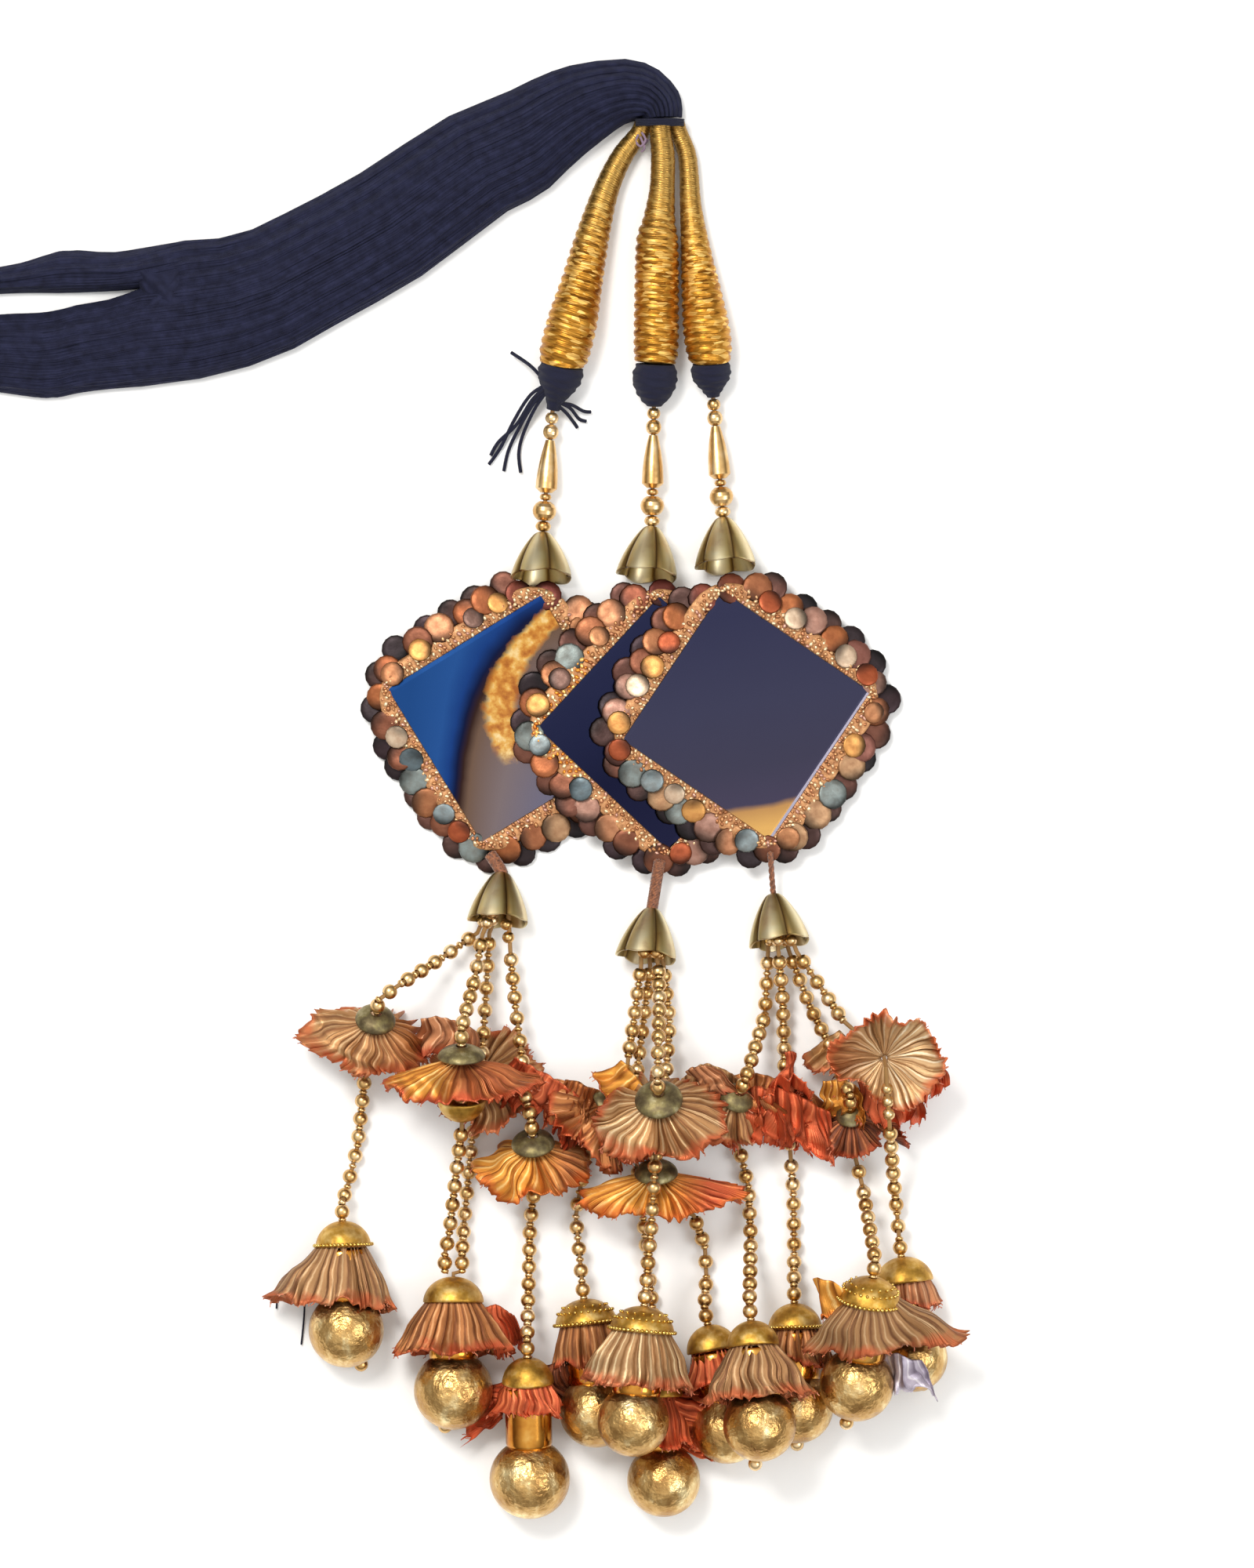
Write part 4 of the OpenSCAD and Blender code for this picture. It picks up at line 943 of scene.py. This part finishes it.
def ribbon_paint(look, folds, change=None):
    """Metal-tissue ribbon: colours across each fold, with a painted highlight on the fold and painted shade
    in its valley, and the cut edge along the rim. A change is a second look, and the places along X in mm
    where it starts and is full."""
    ribbon = paint(f"tissue_ribbon_{look}_{folds}", ribbon_looks[look][1], Metallic=0.7, Roughness=0.4)
    place = split(ribbon, coords(ribbon, "UV", (folds, 1, 1)))
    drift = noise(ribbon, coords(ribbon, "Object"), 140, 4)
    shade = calc(ribbon, "MULTIPLY_ADD", drift, 0.7, -0.35)
    across = calc(ribbon, "ADD", calc(ribbon, "FRACT", place["X"]), shade)

    def striped(name):
        fold_highlight, face, valley, _ = ribbon_looks[name]
        # The valley colour is painted shade and the fold colour a painted highlight.
        return ramp(ribbon, across, [(0.0, valley), (0.2, face), (0.45, face), (0.58, fold_highlight), (0.7, face),
                                     (1.0, valley)])

    stripe = striped(look)
    if change:
        other, start, full = change
        spot = split(ribbon, coords(ribbon, "Object"))["X"]
        stripe = blend(ribbon, remapped(ribbon, spot, (start * mm, full * mm)), stripe, striped(other))
    at_rim = remapped(ribbon, calc(ribbon, "ADD", place["Y"], shade), (0.8, 1))
    link(ribbon, blend(ribbon, at_rim, stripe, ribbon_looks[look][3]), "Base Color")
    rough_from(ribbon, drift, 0.34, 0.58)
    threads = coords(ribbon, "UV", (folds * 5, 2, 1))
    weave = add(ribbon, "TexWave", {"Vector": threads, "Scale": 1.0, "Distortion": 1.2},
                wave_type="BANDS", bands_direction="X").outputs["Fac"]
    relief(ribbon, weave, 0.3, 0.0003)
    return ribbon


def pleat(turns):
    """Height of a pleat that lies over to one side, from 0 in its valley to 1 on its fold."""
    place = turns % 1
    return np.where(place < fold_at, place / fold_at, (1 - place) / (1 - fold_at))


def crushed(points, key, size, amount):
    """Smooth uneven shifts of the points, as of tissue that is crushed by wear."""
    draw = np.random.default_rng(key)
    out = points.copy()
    for _ in range(5):
        wave = unit(draw.normal(size=3)) * 2 * np.pi / (size * draw.uniform(0.6, 1.8))
        way = draw.normal(size=3) * 0.5
        out = out + way * (np.sin(points @ wave + draw.uniform(0, 6.3)) * amount)[:, None]
    return out


def fluted(rim, yaw, pitch, a, b, length, hole, tip, reach, roll=0, folds=36, depth=1.3, crush=1.0, key=0):
    """Surface of a pleated cone, from its gathered hole out to its rim."""
    rim = np.array(rim, float)
    d = heading(yaw, pitch)
    across, over = beside(yaw), np.cross(d, beside(yaw))
    cr, sr = math.cos(math.radians(roll)), math.sin(math.radians(roll))
    su, sw = cr * across + sr * over, cr * over - sr * across
    slope = unit(np.array([length, max(a, b) - hole], float))

    def surface(u, t):
        f = 2 * np.pi * u
        flare = np.where(t < 0.5, 1.24 * t, 0.62 + 0.76 * (t - 0.5))
        pull = 1 + t * reach * np.maximum(0, np.cos(f - math.radians(tip))) ** 4
        uneven = 0.3 * np.sin(5 * f + key) + 0.25 * np.sin(9 * f + 2 * key)
        size = depth * (0.75 + 0.35 * np.sin(4 * f + 3 * key))
        wave = (2 * pleat(folds * u + uneven) - 1) * size * (0.2 + 0.8 * t) * np.minimum(1, 6 * t + 0.1) - 0.4
        torn = t ** 10 * (0.35 * np.sin(37 * f + key) + 0.3 * np.sin(61 * f))
        curl = t ** 3 * (np.sin(5 * f + 3 * key) * 0.8 + np.sin(11 * f + key) * 0.4)
        ra = hole + (a * pull - hole) * flare + wave * slope[0] + curl * 0.4 + torn
        rb = hole + (b * pull - hole) * flare + wave * slope[0] + curl * 0.4 + torn
        along = length * (t - 1) - wave * slope[1] + curl * 0.7
        points = rim + along[:, None] * d + (ra * np.cos(f))[:, None] * su + (rb * np.sin(f))[:, None] * sw
        return crushed(points, key, 9, crush * t ** 1.5)
    return surface


fray_routes = []
fray_least, fray_most, fray_stray, fray_root = 0.4, 1.3, 0.35, 0.15
cloth_wall = 0.3
narrowest = 10.2  # least width from the gathered edge to the cut edge


def ribbon_piece(name, surface, folds, look, slant, nodes=(), hairs=34, change=None):
    """Pleated ribbon as thin cloth, its cut edge frayed."""
    slant = max(narrowest, slant)
    piece = rolled(name, folds * 8, 16, surface)
    bpy.ops.object.shade_smooth_by_angle(angle=math.radians(28))
    cut = sum(face.area for face in piece.data.polygons)
    wall = piece.modifiers.new("cloth", "SOLIDIFY")
    wall.thickness = cloth_wall * mm
    wall.offset = 0
    bpy.ops.object.modifier_apply(modifier="cloth")
    fit(piece, ribbon_paint(look, folds, change), nodes)
    u = rng.random(hairs)
    edge, inside = surface(u, np.ones(hairs)), surface(u, np.full(hairs, 0.93))
    out = unit(edge - inside) + rng.normal(size=(hairs, 3)) * fray_stray
    for start, way, far in zip(edge - fray_root * out, out, rng.uniform(fray_least, fray_most, hairs)):
        end = start + way * far
        end[2] = max(end[2], cloth_wall)
        fray_routes.append([start, (start + end) / 2 + rng.normal(size=3) * 0.15, end])


floor_gap, floor_give = 0.85, 0.12


def above_floor(surface):
    """The same surface, with what would lie under the floor pressed flat on it."""
    def pressed(u, t):
        points = surface(u, t)
        low = points[:, 2] < floor_gap
        points[low, 2] = floor_gap + floor_give * np.tanh(points[low, 2] - floor_gap)
        return points
    return pressed


def first_node(kind, sides, k):
    """The CAD node that a row of pieces replaces, given to the first piece on each side."""
    return [f"{kind}_{sides[k]}"] if k == sides.index(sides[k]) else []


flower_sides = ["left"] * 4 + ["middle"] * 4 + ["right"] * 4
for k, (*rim, yaw, pitch, a, b, length, tip, reach, _, look) in enumerate(flowers):
    folds = int(round(0.95 * (a + b)))
    cone = fluted(rim, yaw, pitch, a, b, length, flower_hole, tip, reach, folds=folds, key=k)
    ribbon_piece(f"ribbon_flower_{k + 1}", above_floor(cone), folds, look, math.hypot(length, (a + b) / 2),
                 first_node("flowers", flower_sides, k), change=flower_changes.get(k))

# Crushed ruffles
# Loose turns of the same ribbon fill the places between the flowers and between the skirts.
# Each is gathered along one edge on the strings, and its other edge has been crushed flat.
ruffles = [  # look, folds, depth, width, way it hangs, points of its gathered edge
    ("coral", 11, 1.6, 12.0, (-0.45, -0.85, -0.25),
     [(17, -71.5, 19), (24, -75.5, 17), (31, -80, 14), (38, -87, 12)]),
    ("copper", 9, 1.5, 11.0, (-0.3, -0.9, 0.1), [(30, -76.5, 12), (36, -79, 14), (42, -82, 14)]),
    ("coral", 17, 1.4, 13.6, (0.05, -1.0, -0.15),
     [(74, -80.5, 11), (82, -79, 16), (91, -81, 16), (100, -86, 11)]),
    ("copper", 9, 1.5, 11.0, (0.1, -1.0, 0.2),
     [(73, -76.5, 8), (80, -75.5, 12), (88, -77.5, 12), (95, -80, 8)]),
    ("tan", 8, 1.3, 10.6, (0.15, -0.9, -0.3),
     [(60.5, -77, 12), (66, -73.6, 15), (72, -74.6, 14), (77, -78, 10)]),
    ("rose", 5, 1.2, 10.4, (0.7, -0.7, 0.0), [(62, -75, 14), (65, -73.4, 17), (69, -73.8, 17)]),
    ("amber", 4, 0.8, 10.4, (-0.75, -0.6, -0.1), [(44.5, -72.4, 18), (49, -77.5, 21), (53, -83.4, 24)]),
    ("rose", 6, 1.2, 10.4, (0.2, -1.0, -0.2), [(-9, -61, 11), (-4, -60.6, 14), (2, -62.4, 14), (6, -65, 12)]),
    ("wine", 9, 1.2, 10.6, (0.8, -0.45, -0.3), [(103, -79, 9), (108, -84, 12), (112, -89, 12)]),
    ("coral", 10, 1.5, 11.0, (0.35, -0.9, -0.25),
     [(107, -77.5, 14), (114, -80, 16), (121, -76, 14), (126, -70, 12)]),
    ("amber", 7, 1.3, 10.6, (0.1, -0.9, -0.2), [(98, -77.5, 12), (103, -77, 16), (108, -79.5, 15)]),
    ("coral", 8, 1.4, 11.0, (0.25, -0.95, -0.1), [(8, -138.5, 9), (12, -137, 12), (16.5, -140, 11)]),
    ("coral", 10, 1.4, 11.0, (0.95, -0.25, -0.1), [(57.5, -157, 12), (57, -165, 13), (58, -174, 11)]),
    ("coral", 7, 1.3, 10.4, (-0.9, -0.4, -0.1), [(14, -157.5, 9), (14, -162, 11), (13.5, -167.5, 9)]),
    ("wine", 8, 1.3, 10.6, (0.3, -0.9, 0.0), [(24.5, -153, 10), (29, -152.5, 12), (34.5, -155, 10)]),
    ("silver", 4, 0.8, 10.4, (0.25, -0.9, -0.3), [(114.5, -150.5, 21), (119, -149.5, 25), (124, -151.5, 21)]),
    ("amber", 4, 0.8, 10.4, (0.2, -0.95, -0.1), [(95.4, -129.5, 24), (101, -130.5, 28), (107, -133.6, 29)]),
    ("coral", 4, 1.3, 12.5, (0, -1.0, -0.12), [(87.9, -70, 15.6), (89, -69.6, 16.4), (90.1, -70, 15.6)]),
    ("pale", 5, 1.0, 10.6, (-0.7, -0.7, -0.1), [(103, -64, 9), (106.5, -68, 11), (108.4, -73, 13)]),
]


def ruffled(edge, hang, width, folds, depth, key):
    """Surface of a ruffle that hangs from its gathered edge."""
    edge, hang = np.array(edge, float), unit(np.array(hang, float))

    def surface(u, t):
        middle = through(edge, u)
        ahead = unit(through(edge, u + 0.02) - through(edge, u - 0.02))
        face = unit(np.cross(ahead, hang))
        height = (2 * pleat(folds * u) - 1) * depth * (0.25 + 0.75 * t) * (0.8 + 0.3 * np.sin(11 * u + key))
        spread = (u - 0.5) * 3.5 * t
        torn = t ** 10 * (0.5 * np.sin(70 * u + key) + 0.4 * np.sin(127 * u))
        fall = width * (t + 0.06 * np.sin(9 * u + key) * t) + torn
        points = middle + fall[:, None] * hang + height[:, None] * face + spread[:, None] * ahead
        return crushed(crushed(points, 50 + key, 8, 0.35 + 1.1 * t), 80 + key, 3.4, 0.12 + 0.3 * t)
    return surface


for k, (look, folds, depth, width, hang, edge) in enumerate(ruffles):
    ruffle = above_floor(ruffled(edge, hang, width, folds, depth, k))
    ribbon_piece(f"ribbon_ruffle_{k + 1}", ruffle, folds, look, width, hairs=0 if look == "silver" else 24)

# Domes
# Small spun brass domes: plain ones sit on the flowers, and larger ones, some edged with
# grains, close the top of each ribbon skirt at the strings' ends.
End = namedtuple("End", "x y z ball_r turn tilt far dome_r collar_r bead_turn bead_deep")
ends = [End(*row) for row in (  # ball's middle, its radius, direction, apex's distance from the ball
    (-28.4, -143.8, 10.1, 10.0, 2, 2, 29.0, 7.4, 6.6, 22, 5.5),
    (0.1, -159.8, 10.6, 10.5, 0, 3, 30.2, 8.1, 6.6, -13, 6.5),
    (20.4, -183.3, 10.8, 10.7, 1, -10, 33.0, 6.9, 6.2, 0, 8.8),
    (37.9, -165.4, 9.8, 9.7, 6, 2, 30.0, 8.3, 6.6, 0, 7.8),
    (47.9, -167.1, 25.9, 9.5, -5.5, 1, 30.5, 8.6, 6.6, 0, 9.0),
    (56.0, -183.8, 10.0, 9.7, 3, 2, 29.0, 6.8, 5.6, 0, 7.8),
    (72.9, -169.9, 9.6, 9.5, 10.7, 3, 27.9, 6.9, 6.3, 0, 7.6),
    (81.3, -168.1, 27.2, 9.7, 4.7, 8, 27.8, 7.0, 6.3, -6, 4.0),
    (91.5, -164.4, 9.7, 9.6, 1.5, 3, 27.7, 7.2, 6.3, 0, 5.0),
    (107.1, -157.7, 20.0, 9.9, -8.2, -14, 29.8, 8.3, 6.6, -14, 4.0),
    (122.5, -151.3, 9.1, 9.0, 7, 1, 27.1, 7.8, 6.0, 20, 7.2))]
end_sides = ["left"] * 3 + ["middle"] * 4 + ["right"] * 4
dome_l, dome_wall, dome_hole, fit_gap = 7.0, 0.8, 1.2, 0.25
small_dome_l, small_dome_hole, small_dome_in = 3.3, 1.5, 1.2
cup_r, cup_deep = 6.5, 10
grain_rings = ((6.4, 44, 0.55), (3.4, 26, 0.45), (1.9, 16, 0.4))  # distance from the apex, grains, size
rings_on = {0: 1, 3: 3, 4: 3, 8: 1, 9: 3}  # rings of grains on the domes that have them
dome_paint = grained("spun_brass", "b88f42", 260, 4, [(0.3, "8a6428"), (0.5, "c0943f"), (0.75, "ecd08a")],
                     (0.34, 0.6), (0.35, 0.0006), Metallic=0.95, Roughness=0.45)
cup_paint = grained("cup_brass", "8f8048", 300, 4, [(0.32, "544832"), (0.45, "6a5e42"), (0.56, "82764e"),
                                                    (0.7, "aaa07c")],
                    bump=(0.4, 0.0004), Metallic=0.85, Roughness=0.5)
grain_paint = grained("brass_grains", "d9b54a", 900, 2, [(0.3, "b98a2c"), (0.7, "f0d67e")],
                      Metallic=1.0, Roughness=0.25)


def dome_profile(radius, length, hole):
    """Out over the dome to its edge, and back inside it."""
    start = max(8, math.degrees(math.asin(min(0.9, hole / radius))))
    angle = np.radians(np.linspace(start, 90, 16))
    outer = [(length * (1 - math.cos(a)), radius * math.sin(a)) for a in angle]
    inner = [(z + (dome_wall if z < length * 0.5 else 0), max(hole, r - dome_wall)) for z, r in outer[::-1]]
    return outer + inner + outer[:1]


def end_line(end):
    """The middle of an end piece's ball, the piece's direction, and its dome's apex."""
    ball, d = np.array([end.x, end.y, end.z]), heading(end.turn, end.tilt)
    return ball, d, ball - end.far * d


grain = seed("brass_grain")
for k, end in enumerate(ends):
    _, d, apex = end_line(end)
    dome = turned(apex, apex + dome_l * d, dome_profile(end.dome_r, dome_l, dome_hole))
    fit(rolled(f"end_dome_{k + 1}", 40, 40, dome), dome_paint,
        first_node("end_caps", end_sides, k))
    if k not in rings_on:
        continue
    s, w = frames(d)
    places = []
    for height, count, size in grain_rings[:rings_on[k]]:
        radius = end.dome_r * math.sin(math.acos(1 - height / dome_l)) + 0.25
        for j in range(count):
            a = 2 * np.pi * j / count
            spot = apex + height * d + radius * (math.cos(a) * s + math.sin(a) * w)
            places.append(Matrix.Translation(Vector(spot) * mm) @ Matrix.Scale(size * mm, 4))
    fit(strewn(f"dome_grains_{k + 1}", grain, places), grain_paint)
bpy.data.objects.remove(grain)
for k, flower in enumerate(flowers):
    if flower.dome_r:
        d = heading(flower.yaw, flower.pitch)
        apex = np.array(flower[:3]) - (flower.length + dome_rise) * d
        profile = dome_profile(flower.dome_r - small_dome_in, small_dome_l, small_dome_hole)
        dome = turned(apex, apex + 4 * d, profile)
        fit(rolled(f"flower_dome_{k + 1}", 36, 36, dome), cup_paint,
            first_node("flower_caps", flower_sides, k))
cup_rim = np.array(flowers[1][:3])  # the second flower also has an upturned cup under it
cup_base = cup_rim + cup_deep * heading(*flowers[1][3:5])
fit(rolled("flower_cup", 36, 36, turned(cup_base, cup_rim, dome_profile(cup_r, cup_r, dome_hole))),
    dome_paint)

# Ribbon skirts
# The same ribbon, gathered under each dome as a short skirt round the collar of the ball.
Skirt = namedtuple("Skirt", "turn a b rim_far roll tip reach look")
# Most skirts take the darkened looks, which paint shade on them.
skirts = [Skirt(*row) for row in (  # more turn, half widths, rim's distance from the apex, roll, a tip
    (-6, 14.4, 9.2, 22.0, 0, 180, 0.36, "shaded_tan"), (0, 15.5, 9.4, 20.0, 0, 0, 0.04, "shaded_copper"),
    (0, 10.6, 7.8, 14.5, 50, 0, 0.03, "coral"), (0, 9.8, 8.6, 18.0, 0, 180, 0.04, "shaded_copper"),
    (0, 14.4, 8.6, 21.0, 0, 0, 0.04, "shaded_pale"), (0, 8.6, 7.2, 20.0, 50, 0, 0.04, "coral"),
    (0, 8.7, 8.2, 16.0, 0, 0, 0.04, "coral"), (0, 13.6, 8.8, 20.5, 0, 0, 0.08, "shaded_tan"),
    (0, 9.4, 8.2, 17.0, 0, 0, 0.05, "shaded_copper"), (14, 18.0, 8.8, 18.5, 0, 0, 0.40, "shaded_tan"),
    (0, 8.6, 8.0, 13.0, 0, 0, 0.05, "rose"))]
skirt_top = dome_l - 1.6  # the skirts start inside the domes
for k, (end, skirt) in enumerate(zip(ends, skirts)):
    _, d, apex = end_line(end)
    length = skirt.rim_far - skirt_top
    turn = end.turn + skirt.turn
    rim = apex + skirt_top * d + length * heading(turn, end.tilt)
    folds = int(round(1.15 * (skirt.a + skirt.b)))
    cone = fluted(rim, turn, end.tilt, skirt.a, skirt.b, length, end.dome_r - 1.5, skirt.tip, skirt.reach,
                  skirt.roll, folds, depth=0.95, crush=0.7, key=k + 20)
    slant = math.hypot(length, (skirt.a + skirt.b) / 2 - end.collar_r)
    ribbon_piece(f"ribbon_skirt_{k + 1}", above_floor(cone), folds, skirt.look, slant,
                 first_node("end_skirts", end_sides, k))

# Balls
# Each string ends in a hollow ball of hammered, antiqued brass. It hangs on a polished brass
# tube that goes up into the dome, and a bead under it hides the knot of the thread.
ball_paint = paint("antique_ball", "b8954f", Metallic=1.0, Roughness=0.33)
ball_patch = noise(ball_paint, coords(ball_paint, "Object", (1.0, 0.55, 0.55), (0, 0, 0.4)), 190, 6, 0.62)
link(ball_paint, ramp(ball_paint, ball_patch, [(0.25, "94683c"), (0.42, "b28a52"), (0.55, "caa468"),
                                               (0.7, "f6e2ac")]), "Base Color")
rough_from(ball_paint, ball_patch, 0.2, 0.42)
relief(ball_paint, noise(ball_paint, coords(ball_paint, "Object"), 330, 4), 0.7, 0.001)
tube_paint = grained("polished_tube", "c98a3a", 140, 3, [(0.3, "a8601f"), (0.55, "cc8e3c"), (0.8, "e8bf6e")],
                     Metallic=1.0, Roughness=0.16)
end_bead_r, end_bead_out = 1.9, 1.6
tube_bore_r, tube_sunk = 1.1, 0.6


def round_ball(middle, radius, d, steps):
    """Surface of a ball whose poles lie along d."""
    arc = [(radius * (1 - math.cos(a)), max(0.01, radius * math.sin(a)))
           for a in np.linspace(0, math.pi, steps)]
    return turned(middle - radius * d, middle + radius * d, arc)


for k, end in enumerate(ends):
    ball, d, apex = end_line(end)
    fit(rolled(f"gold_ball_{k + 1}", 56, 48, round_ball(ball, end.ball_r, d, 40)), ball_paint,
        first_node("end_balls", end_sides, k))
    top, r = dome_l + fit_gap, end.collar_r
    meet = end.far - math.sqrt(end.ball_r ** 2 - r ** 2) + tube_sunk
    tube = [(top, tube_bore_r), (top, r - 0.3), (top + 0.3, r), (meet - 0.5, r), (meet, r - 0.5),
            (meet, tube_bore_r), (top, tube_bore_r)]
    fit(rolled(f"ball_tube_{k + 1}", 40, 24, turned(apex, ball, tube)), tube_paint)
    reach = end.ball_r + end_bead_out
    bead = ball + reach * heading(end.bead_turn, -math.degrees(math.asin(end.bead_deep / reach)))
    fit(rolled(f"end_bead_{k + 1}", 20, 16, round_ball(bead, end_bead_r, d, 14)), bead_paint)

# Frayed edges
# Short ends of the ribbon's warp stick out all along its cut edges as fine coral threads, and
# two ends of dark thread hang out under the first skirt.
fray_paint = grained("coral_fray", "c0643c", 300, 2, [(0.3, "9a4426"), (0.55, "cc6e44"), (0.8, "e8b088")],
                     Roughness=0.6, Sheen_Weight=0.2)
fray_r, skirt_thread_r = 0.12, 0.25
fit(thread_mesh("ribbon_fray", fray_routes, fray_r), fray_paint)
hanging = [[(-46.9, -134.4, 2.0), (-47.1, -136.4, 1.0), (-47.2, -138.6, 0.6)],
           [(-39.6, -133.0, 4.4), (-39.8, -140.0, 1.2), (-40.6, -148.2, 0.6)]]
fit(thread_mesh("skirt_thread_ends", smoothed(hanging, 12), skirt_thread_r), thread_paint)

# Bead strings
# Twelve threads run from the lower caps through the flowers to the end pieces. Their round
# beads stay as the frame has them, and a small gilt spacer fills each place between two beads.
String = namedtuple("String", "cap flower end aside above below")
strings = [String(*row) for row in (  # cap, flower, end piece, shift aside, points above and below the flower
    (0, 0, 0, 0, [(6.4, -38.4, 3.4), (-3.0, -45.0, 9.0), (-13.6, -51.6, 20.5)],
     [(-23.5, -76.0, 5.0), (-25.5, -95.0, 2.3), (-28.2, -106.0, 3.6)]),
    (0, 1, 1, -2.3, [(7.8, -38.8, 10.4), (6.0, -50.0, 16.0)],
     [(2.5, -89.6, 21.2), (1.4, -98.0, 17.0), (-1.0, -118.0, 9.0)]),
    (0, 2, 1, 2.3, [(9.6, -38.4, 5.4), (8.6, -56.0, 4.4), (7.9, -68.0, 9.4), (7.6, -72.4, 13.0)],
     [(6.4, -84.0, 4.0), (4.8, -94.0, 2.3), (2.8, -116.0, 2.3)]),
    (0, 3, 2, 0, [(15.2, -43.0, 7.0), (16.6, -58.0, 8.4), (18.2, -70.0, 12.4), (18.9, -79.6, 14.8)],
     [(21.6, -106.0, 4.6), (20.4, -116.0, 2.3), (20.0, -134.0, 6.0)]),
    (1, 4, 3, 0, [(50.0, -47.0, 8.4), (48.0, -62.0, 8.0), (46.6, -71.0, 12.0)],
     [(35.3, -94.8, 2.6), (34.6, -101.0, 2.3), (32.6, -114.0, 2.3)]),
    (1, 6, 5, 0, [(52.4, -47.0, 4.0), (50.6, -62.0, 2.6), (49.2, -73.0, 9.0)],
     [(48.8, -99.5, 3.6), (49.6, -105.0, 2.3), (53.0, -138.0, 2.6)]),
    (1, 5, 4, 0, [(54.6, -47.0, 8.4), (54.8, -57.0, 20.0), (54.5, -67.0, 34.0)],
     [(53.8, -97.0, 25.6), (52.8, -114.0, 25.4)]),
    (1, 7, 6, 0, [(56.0, -47.4, 4.4), (57.6, -62.0, 2.6), (56.6, -77.0, 11.0)],
     [(64.0, -113.5, 6.0), (67.0, -122.0, 2.3), (67.4, -130.0, 2.6)]),
    (2, 8, 7, 0, [(83.8, -43.8, 4.0), (83.0, -60.0, 4.0)],
     [(76.0, -95.0, 3.6), (78.6, -106.0, 2.3), (79.2, -120.0, 6.0)]),
    (2, 9, 8, 0, [(86.6, -43.8, 8.4), (87.8, -58.0, 5.0), (88.3, -76.0, 2.4)],
     [(89.8, -98.0, 6.0), (90.6, -108.0, 2.3), (90.8, -124.0, 2.6)]),
    (2, 10, 9, 0, [(89.6, -43.8, 4.0), (95.0, -58.0, 4.0), (101.0, -70.0, 7.0)],
     [(107.0, -98.0, 3.6), (109.0, -106.0, 4.0)]),
    (2, 11, 10, 0, [(91.4, -43.4, 8.4), (98.6, -54.0, 11.0), (103.6, -61.5, 15.0)],
     [(115.8, -89.5, 21.8), (117.2, -104.0, 8.0), (118.2, -113.0, 3.0)]))]
bead_pitch, last_bead = 4.6, 4.4
lead_pitch, lead_size = 3.5, (1.5, 1.5, 2.35)
lead_most, tail_most = 2, 3  # round beads at a cap's mouth and under a flower


def way_points(string):
    """The straight runs of beads above and below a string's flower, as lists of points."""
    flower, end = flowers[string.flower], ends[string.end]
    d, rim = heading(flower.yaw, flower.pitch), np.array(flower[:3])
    seat = rim - flower.length * d - (fit_gap + (dome_rise if flower.dome_r else 0)) * d
    upper = string.above + ([seat - last_bead * d, seat] if flower.dome_r else [])
    d = heading(end.turn, end.tilt)
    seat = (np.array([end.x, end.y, end.z]) - (end.far + fit_gap + abs(string.aside) / 2) * d
            + string.aside * beside(end.turn))
    return [np.array(upper, float), np.array([*string.below, seat - last_bead * d, seat], float)]


def placed(spot, way):
    """A place at the spot, with Z along the way."""
    return Matrix.Translation(Vector(spot) * mm) @ Vector(way).to_track_quat("Z", "Y").to_matrix().to_4x4()


spacer = seed("spacer", (1.15, 1.15, 0.7), 10, 6)
places = []
for string in strings:
    cap_knot = np.array(hanger_routes[("left", "middle", "right")[string.cap]][2])
    flower_rim = np.array(flowers[string.flower][:3])
    for first, back, most in ((string.above[0], cap_knot, lead_most),
                              (string.below[0], flower_rim, tail_most)):
        way = back - first
        gap = np.linalg.norm(way)
        for k in range(1, min(most, int(gap / lead_pitch)) + 1):
            places.append(placed(first + way * k * lead_pitch / gap, way) @ Matrix.Diagonal((*lead_size, 1))
                          @ Matrix.Scale(mm, 4))
    for run in way_points(string):
        for start, stop in zip(run[:-1], run[1:]):
            way = stop - start
            count = int(np.linalg.norm(way) / bead_pitch + 0.05)
            for k in range(1, count + 1):
                places.append(placed(start + way * k / count, way) @ Matrix.Scale(mm, 4))
fit(strewn("spacer_beads", spacer, places), bead_paint)
bpy.data.objects.remove(spacer)
